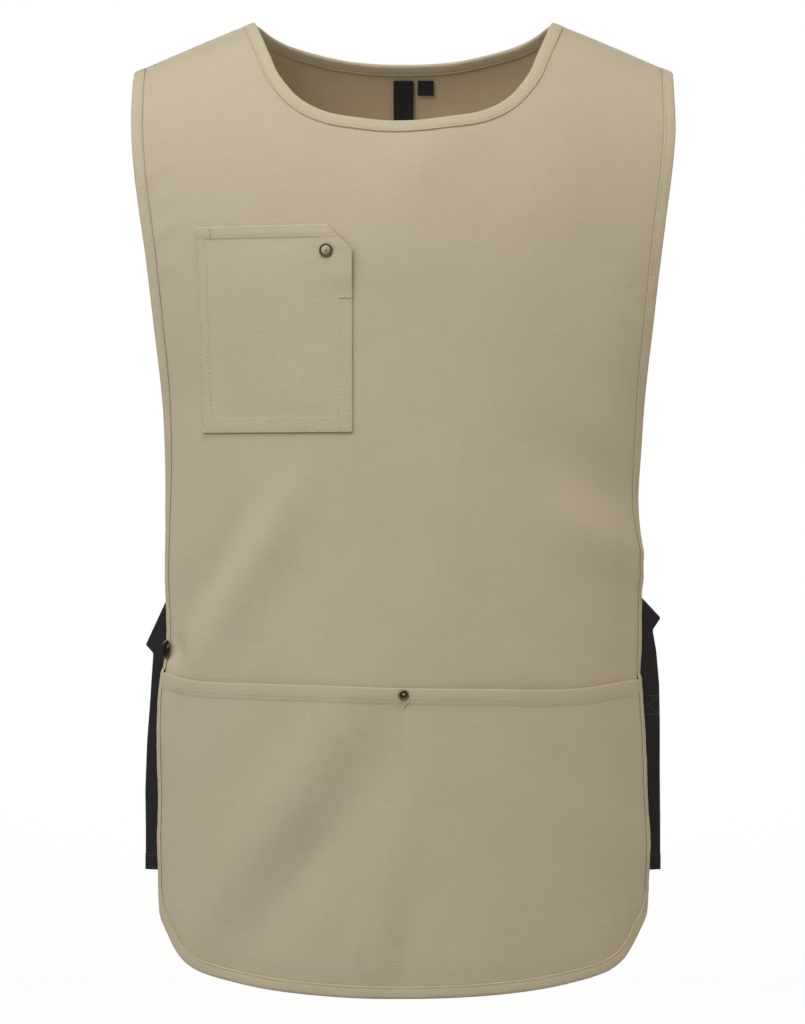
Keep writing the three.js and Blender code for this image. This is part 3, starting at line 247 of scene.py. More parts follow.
# swelling beside the lower side edges: its height, its drops from and to, how far in, and its width
EDGE_ROLL = 2.2
ROLL_FROM, ROLL_TO, ROLL_IN, ROLL_WIDE = 300, 735, 13, 6.5
BACK_FOLDS = np.array([
    (0.35, 0.6, 10, 0.16, 0.04, 1.0), (-0.3, 0.66, -8, 0.17, 0.045, 0.9),
    (0.02, 0.55, 2, 0.14, 0.04, -0.8),
])
BACK_FINE = np.array([
    (-0.8, 0.6, 40, 0.05, 0.012, 0.4), (0.8, 0.61, -40, 0.05, 0.012, 0.4),
    (-0.62, 0.55, 55, 0.04, 0.014, -0.3), (0.6, 0.56, -55, 0.04, 0.014, -0.3),
    (-0.1, 0.93, 8, 0.03, 0.008, 0.25), (0.15, 0.94, -6, 0.03, 0.008, 0.25),
    (0.4, 0.25, 30, 0.08, 0.02, 0.25), (-0.35, 0.3, -28, 0.08, 0.02, 0.25),
])
print("folds:", len(FRAME_FOLDS) + len(FINE_FOLDS), "in front,", len(BACK_FOLDS) + len(BACK_FINE), "behind")

# %% [markdown]
# ## One face of the garment
#
# Front and back are each one sheet that hangs from the shoulder seam. A place on it is an angle t
# round the body and a way down the cloth. The sheet turns over the shoulder, then falls upright.
# All the sewn pieces are set off from this one surface, so a pouch can never cut through its panel.


# %% Face
def unit(a):
    return a / np.linalg.norm(a, axis=-1, keepdims=True)


TURN_STEP, WAY_STEP = 0.002, 0.4


class Face:
    def __init__(self, sign, depth, turn_over, folds, roll=0.0):
        self.sign, self.depth, self.turn_over, self.folds = sign, depth, turn_over, folds
        self.roll = roll
        self.quarter = turn_over * math.pi / 2

    def drop_of(self, way):
        bent = self.turn_over * (1 - np.cos(way / self.turn_over))
        return np.where(np.abs(way) < self.quarter, bent, self.turn_over + way - self.quarter)

    def way_of(self, drop):
        d = np.maximum(drop, 0)
        bent = self.turn_over * np.arccos(np.clip(1 - d / self.turn_over, -1, 1))
        return np.where(d < self.turn_over, bent, d - self.turn_over + self.quarter)

    def smooth(self, t, way):
        drop = self.drop_of(way)
        x = reach(drop, t) / wrap_at(drop) * np.sin(t)
        ahead = np.where(way < self.quarter, np.sin(way / self.turn_over), 1.0)
        y = self.sign * (SIDE_BASE + (self.depth - SIDE_BASE) * np.cos(t)) * ahead
        return np.stack([x, y, shoulder_line(x) - drop], -1)

    def fold_at(self, x, z):
        lift = np.zeros_like(x)
        for side, down, turn, long, wide, high in self.folds:
            a = math.radians(turn)
            dx = x - side * CHEST_HALF
            dz = z + down * LENGTH
            up = (dx * math.sin(a) + dz * math.cos(a)) / (long * LENGTH)
            over = (dx * math.cos(a) - dz * math.sin(a)) / (wide * LENGTH)
            lift = lift + high * FOLD_DEPTH * np.exp(-0.5 * (up * up + over * over))
        return lift

    def edge_roll(self, t, way):
        """Swelling beside the lower side edges, where the bound edge turns in."""
        drop = self.drop_of(way)
        inside = (np.arcsin(wrap_at(drop)) - np.abs(t)) * self.depth
        along = smooth_step((drop - ROLL_FROM) / 120) * smooth_step((ROLL_TO - drop) / 80)
        return self.roll * along * bell(inside - ROLL_IN, ROLL_WIDE)

    def base(self, t, way):
        p = self.smooth(t, way)
        lift = self.fold_at(p[..., 0], p[..., 2]) + self.edge_roll(t, way)
        return p + self.across(t, way, self.smooth) * lift[..., None]

    def steps(self, t, way, where):
        """How a point moves over a small step round the body, and over one down the cloth."""
        turned = where(t + TURN_STEP, way) - where(t - TURN_STEP, way)
        fallen = where(t, way + WAY_STEP) - where(t, way - WAY_STEP)
        return turned, fallen

    def across(self, t, way, where):
        return unit(np.cross(*self.steps(t, way, where))) * self.sign

    def facing(self, t, way):
        """Outward direction of the cloth."""
        return self.across(t, way, self.base)

    def at(self, t, way, off):
        off = np.broadcast_to(off, np.shape(t))[..., None]
        return self.base(t, way) + self.facing(t, way) * off

    def place(self, x, z):
        drop = shoulder_line(x) - z
        u = x / (reach(drop, x) / wrap_at(drop))
        return np.arcsin(np.clip(u, -0.985, 0.985)), self.way_of(drop)

    def spot(self, x, z, off):
        """A point off the cloth and the facing there, at a place as it is seen from ahead."""
        t, way = self.place(np.asarray(x, float), np.asarray(z, float))
        return self.at(t, way, off), self.facing(t, way)

    def shifted(self, t, way, move):
        """The place that lies off the given one by a vector along the cloth."""
        dt, dv = self.steps(t, way, self.base)
        dt, dv = dt / (2 * TURN_STEP), dv / (2 * WAY_STEP)
        a, b, c = (dt * dt).sum(-1), (dt * dv).sum(-1), (dv * dv).sum(-1)
        m, n = (dt * move).sum(-1), (dv * move).sum(-1)
        det = a * c - b * b
        return t + (m * c - n * b) / det, way + (n * a - m * b) / det

    def weave(self, t, way):
        """Weave coordinates: length round the body, and way down from a level line."""
        x = self.smooth(t, way)[..., 0]
        return np.stack([self.across_length(t, way), way - shoulder_line(x)], -1)

    def across_length(self, t, way):
        """Length over the cloth from its middle line."""
        steps = 14
        total = np.zeros_like(t)
        last = self.smooth(t * 0, way)
        for k in range(1, steps + 1):
            here = self.smooth(t * k / steps, way)
            total = total + np.linalg.norm(here - last, axis=-1)
            last = here
        return total * np.sign(t)


bolder = FRAME_FOLDS * (1, 1, 1, 1, 1, BOLDER)
front = Face(-1, FRONT_DEPTH, FRONT_ROUND, np.concatenate([FRAME_FOLDS, bolder, FINE_FOLDS]), EDGE_ROLL)
back = Face(1, BACK_DEPTH, BACK_ROUND, np.concatenate([BACK_FOLDS, BACK_FINE]))
frame_front = Face(-1, FRONT_DEPTH, FRONT_ROUND, FRAME_FOLDS)
frame_back = Face(1, BACK_DEPTH, BACK_ROUND, BACK_FOLDS)
print("chest:", front.base(np.array([0.0]), np.array([300.0])).round(1))

# %% [markdown]
# ## Edges of the cloth
#
# The outline runs from one shoulder tip down the side, round the hem and up again, and the neckline
# runs from shoulder to shoulder. An edge line knows its own length, so tape and stitches can be set
# along it by measure, at any distance inside it.


# %% Edge lines
# how far to look along a line for its direction, and the length at each end that bends to the seam
LOOK_ALONG, END_BEND = 5, 14


def curve_through(points, count):
    """Evenly spaced points on a smooth curve through the given ones."""
    p = np.vstack([2 * points[0] - points[1], points, 2 * points[-1] - points[-2]])
    knot = np.concatenate([[0], np.cumsum(np.linalg.norm(np.diff(p, axis=0), axis=1) ** 0.5)])

    def mix(k, low, high, a, b):
        return ((high - k) * a + (k - low) * b) / (high - low)

    pieces = [points[:1]]
    for i in range(1, len(p) - 2):
        k0, k1, k2, k3 = knot[i - 1 : i + 3]
        k = np.linspace(k1, k2, 25)[1:, None]
        first = mix(k, k0, k1, p[i - 1], p[i])
        middle = mix(k, k1, k2, p[i], p[i + 1])
        last = mix(k, k2, k3, p[i + 1], p[i + 2])
        pieces.append(mix(k, k1, k2, mix(k, k0, k2, first, middle), mix(k, k1, k3, middle, last)))
    line = np.vstack(pieces)
    run = np.concatenate([[0], np.cumsum(np.linalg.norm(np.diff(line, axis=0), axis=1))])
    at = np.linspace(0, run[-1], count)
    return np.stack([np.interp(at, run, line[:, c]) for c in range(line.shape[1])], -1)


class EdgeLine:
    def __init__(self, face, t, way, inward):
        self.face, self.t, self.way, self.inward = face, t, way, inward
        self.points = face.base(t, way)
        steps = np.linalg.norm(np.diff(self.points, axis=0), axis=1)
        self.run = np.concatenate([[0], np.cumsum(steps)])
        self.total = self.run[-1]

    def place_at(self, s):
        return np.interp(s, self.run, self.t), np.interp(s, self.run, self.way)

    def inset(self, s, d):
        """Places d inside the line at the lengths s. Both ends stay on the shoulder seam."""
        t, way = self.place_at(s)
        d = np.broadcast_to(d, s.shape)
        behind = self.face.base(*self.place_at(np.maximum(s - LOOK_ALONG, 0)))
        ahead = self.face.base(*self.place_at(np.minimum(s + LOOK_ALONG, self.total)))
        normal = self.face.facing(t, way)
        inner = unit(np.cross(unit(ahead - behind), normal)) * self.inward
        half = inner * (d / 2)[..., None]
        t1, way1 = self.face.shifted(*self.face.shifted(t, way, half), half)
        step = 5 * TURN_STEP
        seam = (self.face.base(t + step, way) - self.face.base(t - step, way)) / (2 * step)
        t_seam = t + d / (seam * inner).sum(-1)
        k = np.clip(np.minimum(s, self.total - s) / END_BEND, 0, 1)
        return (1 - k) * t_seam + k * t1, np.maximum((1 - k) * way + k * way1, self.way.min())

    def cut_line(self, start, end, count):
        """Places along the cut edge of the cloth, which lies inside the folded tape."""
        return np.stack(self.inset(np.linspace(start, end, count), CUT_IN), -1)

    def length_where(self, test, from_end=False):
        """First length at which test, of places and points, has passed zero, from either end."""
        order = slice(None, None, -1) if from_end else slice(None)
        value = test(self.way, self.points)[order]
        run = self.run[order]
        i = int(np.argmax(value >= 0))
        a, b = value[i - 1], value[i]
        return run[i - 1] + (run[i] - run[i - 1]) * -a / (b - a)


def outline_of(face, seam_way):
    drop = np.linspace(float(face.drop_of(np.array(seam_way))), SIDE_END * LENGTH, 161)
    t, way = np.arcsin(wrap_at(drop)), face.way_of(drop)
    way[0] = seam_way
    corner = face.smooth(np.array([-t[-1], t[-1]]), np.array([way[-1], way[-1]]))
    left = np.stack([-HEM[:, 0] * CHEST_HALF, -HEM[:, 1] * LENGTH], -1)
    right = left[::-1] * (-1, 1)
    knots = np.vstack([corner[0][[0, 2]], left, right, corner[1][[0, 2]]])
    hem = curve_through(knots, 261)[1:-1]
    hem_t, hem_way = face.place(hem[:, 0], hem[:, 1])
    return EdgeLine(
        face, np.concatenate([-t, hem_t, t[::-1]]), np.concatenate([way, hem_way, way[::-1]]), face.sign
    )


def neckline_of(face, table, neck_drop, seam_way):
    seam_drop = float(face.drop_of(np.array(seam_way)))
    left = np.stack([-table[:, 0] * NECK_HALF, -table[:, 1] * neck_drop - seam_drop], -1)
    line = curve_through(np.vstack([left, left[::-1] * (-1, 1)]), 241)
    t, way = face.place(line[:, 0], line[:, 1])
    way[0] = way[-1] = seam_way
    return EdgeLine(face, t, way, -face.sign)


def seam_way_of(depth, turn_over):
    return (SEAM_GAP / 2) * turn_over / (0.83 * (depth - SIDE_BASE) + SIDE_BASE)


front_seam = seam_way_of(FRONT_DEPTH, FRONT_ROUND)
back_seam = seam_way_of(BACK_DEPTH, BACK_ROUND)
front_outline = outline_of(front, front_seam)
back_outline = outline_of(back, back_seam)
front_neck = neckline_of(front, FRONT_NECK, FRONT_NECK_DROP, front_seam)
back_neck = neckline_of(back, BACK_NECK, BACK_NECK_DROP, back_seam)
print("outline:", round(front_outline.total), "and", round(back_outline.total), "mm round the edge")

# %% [markdown]
# ## From places to meshes
#
# A sheet of cloth is made as two layers over one grid of places, closed round its rim. Its weave
# coordinates are measured over the cloth in metres, so threads keep their size where the cloth turns
# away from the camera. Faces are put the right way out by the sign of the volume they enclose.


# %% Mesh helpers
def object_of(name, points, faces, uv=None):
    """A mesh object from points in millimetres, with weave coordinates in metres."""
    points = np.asarray(points, float) * MM
    triangles = np.array([(f[0], f[i], f[i + 1]) for f in faces for i in range(1, len(f) - 1)])
    a, b, c = (points[triangles[:, i]] for i in range(3))
    if np.einsum("ij,ij->i", a, np.cross(b, c)).sum() < 0:
        faces = [tuple(reversed(f)) for f in faces]
    mesh = bpy.data.meshes.new(name)
    mesh.from_pydata(points.tolist(), [], faces)
    if uv is not None:
        corner = np.zeros(len(mesh.loops), np.int32)
        mesh.loops.foreach_get("vertex_index", corner)
        layer = mesh.uv_layers.new(name="cloth")
        layer.data.foreach_set("uv", (np.asarray(uv, float)[corner] * MM).astype(np.float32).ravel())
    mesh.shade_smooth()
    mesh.validate()
    return linked(name, mesh)


def grid_quads(rows, columns):
    i, j = np.meshgrid(np.arange(rows - 1), np.arange(columns - 1), indexing="ij")
    a = (i * columns + j).ravel()
    return np.stack([a, a + columns, a + columns + 1, a + 1], -1)


def two_layers(name, upper, lower, quads, uv):
    """A closed sheet between two layers of points over the same grid. A value marks its lower layer, whose
    colour the canvas tints as painted light.
    """
    n = len(upper)
    edges = np.vstack([quads[:, [0, 1]], quads[:, [1, 2]], quads[:, [2, 3]], quads[:, [3, 0]]])
    codes = edges[:, 0] * n + edges[:, 1]
    rim = edges[~np.isin(codes, edges[:, 1] * n + edges[:, 0])]
    walls = np.stack([rim[:, 1], rim[:, 0], rim[:, 0] + n, rim[:, 1] + n], -1)
    faces = np.vstack([quads, quads[:, ::-1] + n, walls]).tolist()
    obj = object_of(name, np.vstack([upper, lower]), [tuple(f) for f in faces], np.vstack([uv, uv]))
    wrong_side = obj.data.attributes.new("wrong_side", "FLOAT", "POINT")
    wrong_side.data.foreach_set("value", np.repeat([0.0, 1.0], n).astype(np.float32))
    return obj


def sheet_over(name, face, t, way, middle, thick, quads, shift=(0, 0)):
    """A sheet of a thickness, its middle at a height over a face. shift moves its weave."""
    uv = face.weave(t, way) + shift
    return two_layers(
        name, face.at(t, way, middle + thick / 2), face.at(t, way, middle - thick / 2), quads, uv
    )


def filled(top, bottom, left, right):
    """A grid of places between a top and a bottom line and two side lines."""
    r = np.linspace(0, 1, len(left))[:, None, None]
    c = np.linspace(0, 1, len(top))[None, :, None]
    across = (1 - r) * top[None] + r * bottom[None]
    down = (1 - c) * left[:, None] + c * right[:, None]
    ends = (1 - r) * ((1 - c) * top[0] + c * top[-1]) + r * ((1 - c) * bottom[0] + c * bottom[-1])
    return across + down - ends


def between(a, b, count):
    return a + (b - a) * np.linspace(0, 1, count)[:, None]


def half_area(obj):
    """Half the surface of a closed sheet, in square metres, which is the area of its cloth."""
    return sum(p.area for p in obj.data.polygons) / 2


print("cut edge lies", CUT_IN, "mm inside the fold of the binding")

# %% [markdown]
# ## Panels
#
# The real panels are cut from one layer of canvas. Each is made here as three grids that share their
# edges: one over each shoulder, and one from the neckline down to the hem. Grids keep the rows of
# the mesh level and its columns upright, as the threads of the cloth are.

# %% Panels


CORNER_DOWN, CORNER_OUT = 0.9, 0.8


def at_hem_corner(way, p):
    """Passes zero where the outline leaves the side for the hem."""
    return np.where(p[:, 2] < -CORNER_DOWN * LENGTH, CORNER_OUT * CHEST_HALF - np.abs(p[:, 0]), -1)


def panel_places(face, outline, neck, neck_drop, elbow_drop, counts):
    """Places of a panel, and the four corners of each facet."""
    strap_columns, neck_columns, strap_rows, rows = counts
    elbow = float(face.way_of(np.array(elbow_drop)))
    elbows = [outline.length_where(lambda way, p: way - elbow, end) for end in (False, True)]
    corners = [outline.length_where(at_hem_corner, end) for end in (False, True)]
    feet = [neck.length_where(lambda way, p: -p[:, 2] - 0.78 * neck_drop, end) for end in (False, True)]
    side_left = outline.cut_line(0, elbows[0], strap_rows)
    side_right = outline.cut_line(outline.total, elbows[1], strap_rows)
    neck_left = neck.cut_line(0, feet[0], strap_rows)
    neck_right = neck.cut_line(neck.total, feet[1], strap_rows)
    scoop = neck.cut_line(*feet, neck_columns)
    left_foot = between(side_left[-1], neck_left[-1], strap_columns)
    right_foot = between(neck_right[-1], side_right[-1], strap_columns)
    top = np.vstack([left_foot, scoop[1:-1], right_foot])
    blocks = [
        filled(between(side_left[0], neck_left[0], strap_columns), left_foot, side_left, neck_left),
        filled(between(neck_right[0], side_right[0], strap_columns), right_foot, neck_right, side_right),
        filled(
            top, outline.cut_line(*corners, len(top)),
            outline.cut_line(elbows[0], corners[0], rows), outline.cut_line(elbows[1], corners[1], rows),
        ),
    ]
    places, quads, start = [], [], 0
    for block in blocks:
        quads.append(grid_quads(*block.shape[:2]) + start)
        places.append(block.reshape(-1, 2))
        start += len(places[-1])
    places, quads = np.vstack(places), np.vstack(quads)
    keys = np.round(places * (1e5, 1e3)).astype(np.int64)
    _, first, same = np.unique(keys, axis=0, return_index=True, return_inverse=True)
    return places[first], same.ravel()[quads]


front_places, front_quads = panel_places(
    front, front_outline, front_neck, FRONT_NECK_DROP, 0.085 * LENGTH, (30, 60, 18, 190)
)
back_places, back_quads = panel_places(
    back, back_outline, back_neck, BACK_NECK_DROP, 0.035 * LENGTH, (26, 50, 10, 150)
)
front_cloth = sheet_over("front_cloth", front, *front_places.T, 0, CANVAS, front_quads)
back_cloth = sheet_over("back_cloth", back, *back_places.T, 0, CANVAS, back_quads)
for cloth in (front_cloth, back_cloth):
    print(cloth.name, len(cloth.data.polygons), "faces,", round(half_area(cloth), 3), "m2")

# %% [markdown]
# ## Bindings
#
# A tape is folded over every raw edge and sewn through. Its section is a flat U with a rolled fold,
# thinner where the stitches pull it down, so the inner edge stands up beside the seam. It puckers a
# little between stitches. Where it closes over the pouch it has one more layer to cover, so it
# steps up there.

# %% Binding tape
TAPE_LINE = 8.3
# distance inside the fold, share of the tape's thickness
TAPE_FLAT = [
    (10.0, 0.25), (9.85, 0.6), (9.45, 0.9), (9.0, 0.95), (8.7, 0.8), (TAPE_LINE, 0.68), (7.9, 0.8),
    (7.2, 0.98), (5.2, 1.06), (3.0, 1.04), (1.6, 0.95),
]
# distance inside the fold, share of the tape's height over the panel's middle
TAPE_FOLD = [(0.6, 0.76), (0.12, 0.4), (0.0, 0.0)]
TAPE_INSIDE = 1.4
TAPE_STEP = 2.4
PUCKER = 0.09


def pucker(s, seed):
    """Small uneven lift along a seam, in millimetres."""
    wave = np.zeros_like(s)
    chance = np.random.default_rng(seed)
    for length in (7.3, 11.0, 17.0, 29.0, 53.0):
        wave += math.sqrt(length / 53) * np.sin(2 * math.pi * s / length + chance.uniform(0, 6.28))
    return PUCKER * wave


def tape_side(line, s, top_off, lift, sign):
    """Section points of one side of the tape, from its inner edge to the middle of the fold."""
    rows = []
    for d, share in TAPE_FLAT:
        off = top_off - BINDING_PLY * (1 - share) + lift * share
        rows.append(line.face.at(*line.inset(s, d), sign * off))
    for d, share in TAPE_FOLD:
        rows.append(line.face.at(*line.inset(s, d), sign * top_off * share))
    return rows


def tape_section(line, s, top_off, seed):
    """Closed section at each length: over the fold from the front side, and back inside it."""
    low_off = np.full_like(s, PLY_AT + BINDING_PLY)
    upper = tape_side(line, s, top_off, pucker(s, seed), 1)
    lower = tape_side(line, s, low_off, pucker(s, seed + 1), -1)
    inside = [
        line.face.at(*line.inset(s, d), off)
        for d, off in (
            (BINDING_WIDE, -PLY_AT), (TAPE_INSIDE, -PLY_AT),
            (TAPE_INSIDE, top_off - BINDING_PLY), (BINDING_WIDE, top_off - BINDING_PLY),
        )
    ]
    return np.stack(upper + lower[-2::-1] + inside, 1)


def tube_quads(stations, around, closed):
    k, i = np.meshgrid(np.arange(stations if closed else stations - 1), np.arange(around), indexing="ij")
    k, i = k.ravel(), i.ravel()
    ahead, beside = (k + 1) % stations, (i + 1) % around
    return np.stack([k * around + i, k * around + beside, ahead * around + beside, ahead * around + i], -1)


def tube_faces(stations, around, closed=False):
    """The quads round a tube, with a face over each end if it is open."""
    faces = [tuple(q) for q in tube_quads(stations, around, closed).tolist()]
    if not closed:
        faces += [tuple(range(around)[::-1]), tuple(range((stations - 1) * around, stations * around))]
    return faces


def tape_uv(s, around):
    wide = np.linspace(0, 2 * BINDING_WIDE + 4, around)
    return np.stack(np.broadcast_arrays(wide[None, :], s[:, None]), -1).reshape(-1, 2)


def below_mouth(points):
    """How far points of the front lie under the line of the pouch's mouth."""
    return -points[:, 2] - mouth_drop(points[:, 0])


def over_pouch(line, s):
    """Outer height of the front tape: one layer more where the pouch lies under it."""
    k = smooth_step(below_mouth(line.face.base(*line.place_at(s))) / 4 + 1)
    return (PLY_AT + (RAISED_AT - PLY_AT) * k) + BINDING_PLY


def edge_tape(name, line, top_off, seed):
    s = np.linspace(0, line.total, int(line.total / TAPE_STEP))
    section = tape_section(line, s, top_off(line, s), seed)
    faces = tube_faces(*section.shape[:2])
    return object_of(name, section.reshape(-1, 3), faces, tape_uv(s, section.shape[1]))


def plain_tape(line, s):
    return np.full_like(s, PLY_AT + BINDING_PLY)


front_tape = edge_tape("front_edge_tape", front_outline, over_pouch, 11)
back_tape = edge_tape("back_edge_tape", back_outline, plain_tape, 12)

neck_s_front = np.linspace(0, front_neck.total, 150)
neck_s_back = np.linspace(back_neck.total, 0, 130)
neck_front = tape_section(front_neck, neck_s_front, plain_tape(front_neck, neck_s_front), 13)
neck_back = tape_section(back_neck, neck_s_back, plain_tape(back_neck, neck_s_back), 13)
for seam_row, back_row in ((0, -1), (-1, 0)):
    neck_front[seam_row] = neck_back[back_row] = (neck_front[seam_row] + neck_back[back_row]) / 2
neck_section = np.concatenate([neck_front, neck_back[1:-1]])
neck_run = np.concatenate([neck_s_front, front_neck.total + back_neck.total - neck_s_back[1:-1]])
neck_tape = object_of(
    "neck_tape", neck_section.reshape(-1, 3), tube_faces(*neck_section.shape[:2], closed=True),
    tape_uv(neck_run, neck_section.shape[1]),
)
for tape in (front_tape, back_tape, neck_tape):
    print(tape.name, len(tape.data.polygons), "faces,", round(half_area(tape) * 1e4), "cm2")

# %% [markdown]
# ## Pouch
#
# The pouch is a second layer over the lower front. Its mouth is turned over twice, so its top edge is
# a soft roll with a step where the turned part ends. Stitches hold it down the middle, and the cloth
# between swells a little, as a quilt does.

# %% Pouch
MOUTH_ROWS = [
    0, 0.08, 0.25, 0.5, 0.9, 1.5, 2.5, 4, 5.5, 7, 8.3, 9.2, 9.8, 10.2, 10.6, 11.1, 11.6, 12.2, 12.8,
    13.5, 14.5, 16.5,
]
HEM_SEAM = 10.2
HEM_END = 11.4
SEAM_X = (-4.4, 3.2)
# swelling between the seams: its height, and the half width of the dip at a seam
PUFF, DIP_WIDE = 0.6, 1.5
# how deep and how wide a row of stitches presses the cloth, and how high a hem swells above its row
PRESS, PRESS_WIDE, HEM_SWELL = 0.22, 0.5, 0.22


def mouth_place(t_left, t_right, w, count):
    t = np.linspace(t_left, t_right, count)
    way = np.full(count, float(front.way_of(np.array(POUCH_TOP))))
    for _ in range(6):
        x = front.smooth(t, way)[:, 0]
        way = front.way_of(shoulder_line(x) + mouth_drop(x) + w)
    return np.stack([t, way], -1)


def outline_under_mouth(w, from_end):
    return front_outline.length_where(lambda way, p: below_mouth(p) - w, from_end)


def edge_distance(line, points):
    """Distance of each point from an edge line."""
    nearest = np.full(len(points), 1e9)
    for part in np.array_split(line.points[::2], 24):
        gap = np.linalg.norm(points[:, None, :] - part[None], axis=-1).min(1)
        nearest = np.minimum(nearest, gap)
    return nearest


def inside_share(points):
    """0 at the bound edge of the front, 1 well inside it."""
    return smooth_step((edge_distance(front_outline, points) - 11) / 14)


POUCH_COLUMNS, POUCH_ROWS = 132, 76
rows = []
for w in MOUTH_ROWS:
    ends = [front_outline.inset(np.array([outline_under_mouth(w, e)]), CUT_IN) for e in (False, True)]
    rows.append(mouth_place(ends[0][0][0], ends[1][0][0], w, POUCH_COLUMNS))
low_left, low_right = (outline_under_mouth(MOUTH_ROWS[-1], e) for e in (False, True))

hem_left, hem_right = (front_outline.length_where(at_hem_corner, e) for e in (False, True))
lower = filled(
    rows[-1], front_outline.cut_line(hem_left, hem_right, POUCH_COLUMNS),
    front_outline.cut_line(low_left, hem_left, POUCH_ROWS),
    front_outline.cut_line(low_right, hem_right, POUCH_ROWS),
)
pouch_grid = np.concatenate([np.array(rows[:-1]), lower])
pouch_t, pouch_way = pouch_grid[..., 0].ravel(), pouch_grid[..., 1].ravel()
pouch_base = front.base(pouch_t, pouch_way)
under = np.maximum(below_mouth(pouch_base), 0)
row_w = np.repeat(MOUTH_ROWS[:-1], POUCH_COLUMNS)
under[: len(row_w)] = row_w
inside_edge = inside_share(pouch_base)


def pouch_lift(x, under, inside_edge):
    """How far the pouch stands off the panel: two mouths, and swelling between the seams."""
    fade = np.clip(1 - under / (0.8 * (LENGTH - POUCH_TOP)), 0, 1)
    side = (np.abs(x) - HEM_HEIGHT) / (0.8 * CHEST_HALF - HEM_HEIGHT)
    hump = np.maximum(0, np.sin(math.pi * np.clip(side, 0, 1)))
    dip = sum(bell(x - c, DIP_WIDE) for c in SEAM_X)
    dip = np.clip(dip, 0, 1) * smooth_step((under - 9) / 4)
    return GAPE * hump * fade * fade * inside_edge + PUFF * inside_edge * (1 - dip)


def pouch_layers(x, under, inside_edge):
    """Height of the middle of the cloth over the panel, and its thickness with what is turned under."""
    turned = (1 - smooth_step((under - HEM_END + 0.6) / 2.4)) * HEM_EXTRA * 0.7
    turned += HEM_SWELL * np.sin(math.pi * np.clip(under / HEM_SEAM, 0, 1)) * inside_edge
    turned -= PRESS * bell(under - HEM_SEAM, PRESS_WIDE)
    thick = POCKET_CLOTH + turned
    return PLY_AT + pouch_lift(x, under, inside_edge) + thick / 2, thick


def rolled(distance):
    """Share of the thickness that is left at a distance inside a rolled edge."""
    return np.sqrt(np.clip(1 - (1 - np.clip(distance / 0.9, 0, 1)) ** 2, 0, 1)) * 0.96 + 0.04


middle, thick = pouch_layers(pouch_base[:, 0], under, inside_edge)
pouch = sheet_over(
    "pouch", front, pouch_t, pouch_way, middle, thick * rolled(under), grid_quads(*pouch_grid.shape[:2])
)
print("pouch:", len(pouch.data.polygons), "faces,", round(half_area(pouch), 3), "m2")

# %% [markdown]
# ## Chest pocket
#
# A patch pocket is pressed flat with its raw edges turned under, then sewn round. The turned edges
# make it thicker along the rim. One upper corner is cut off, and below it the side is left open for
# a pen, so that stretch stands off the chest and throws a shadow.

# %% Chest pocket
POCKET_AT = CANVAS / 2 + PATCH_GAP
TURNED_UNDER = 10.5


def pocket_sides(d):
    left = -POCKET_LEFT + POCKET_SLANT * d / POCKET_TALL
    right = -POCKET_LEFT + POCKET_WIDE - np.maximum(0, POCKET_CUT - d)
    return left, right


def toward_ends(count, reach_in):
    """Shares of a length, set closer together near both ends."""
    k = np.linspace(0, 1, count)
    return k - reach_in * np.sin(2 * math.pi * k) / (2 * math.pi)


def with_rim(shares, length):
    """Extra lines close to both ends, for a rolled rim."""
    rim = np.array([0, 0.06, 0.2, 0.45, 0.9, 1.5]) / length
    inner = shares[(shares > 2.2 / length) & (shares < 1 - 2.2 / length)]
    return np.concatenate([rim, inner, 1 - rim[::-1]])


POCKET_SEAMS = (1.6, TURNED_UNDER - 0.8)
# the left edge is narrower than the right by this share
LEFT_TURN = 0.74
# the pocket is cut from another part of the cloth, so its weave starts elsewhere
POCKET_WEAVE = (37.3, 11.9)
# width of the part that stands open, swelling of the middle, turned edges, and how far the hem's row presses
OPEN_WIDE, POCKET_SWELL, TURNED_THICK, HEM_PRESS = 45, 0.35, 0.45, 0.3


def pocket_layers(x, from_top):
    """Height of the middle of the pocket's cloth over the panel, its thickness, and how far in it is."""
    left, right = pocket_sides(from_top)
    from_left, from_right = (x - left) / LEFT_TURN, right - x
    from_cut = np.where(from_top < POCKET_CUT, from_right / math.sqrt(2), from_right)
    from_side = np.minimum(np.minimum(from_left, from_cut), POCKET_TALL - from_top)
    rim_gap = np.minimum(from_side, from_top)
    open_part = np.clip(1 - np.abs(from_top - POCKET_OPEN / 2) / (POCKET_OPEN / 2), 0, 1)
    open_lift = POCKET_GAPE * smooth_step(open_part * 1.6) * np.clip(1 - from_right / OPEN_WIDE, 0, 1) ** 2
    swell = POCKET_SWELL * smooth_step((rim_gap - 11) / 16)
    turned = TURNED_THICK * (1 - smooth_step((from_side - TURNED_UNDER + 0.6) / 1.2))
    turned = np.maximum(turned, HEM_EXTRA * (1 - smooth_step((from_top - POCKET_HEM - 0.4) / 0.9)))
    for at_side in POCKET_SEAMS:
        turned -= PRESS * bell(from_side - at_side, PRESS_WIDE)
    turned -= HEM_PRESS * bell(from_top - POCKET_HEM + 0.4, PRESS_WIDE)
    thick = POCKET_CLOTH + turned
    return POCKET_AT + open_lift + swell + thick / 2, thick, rim_gap


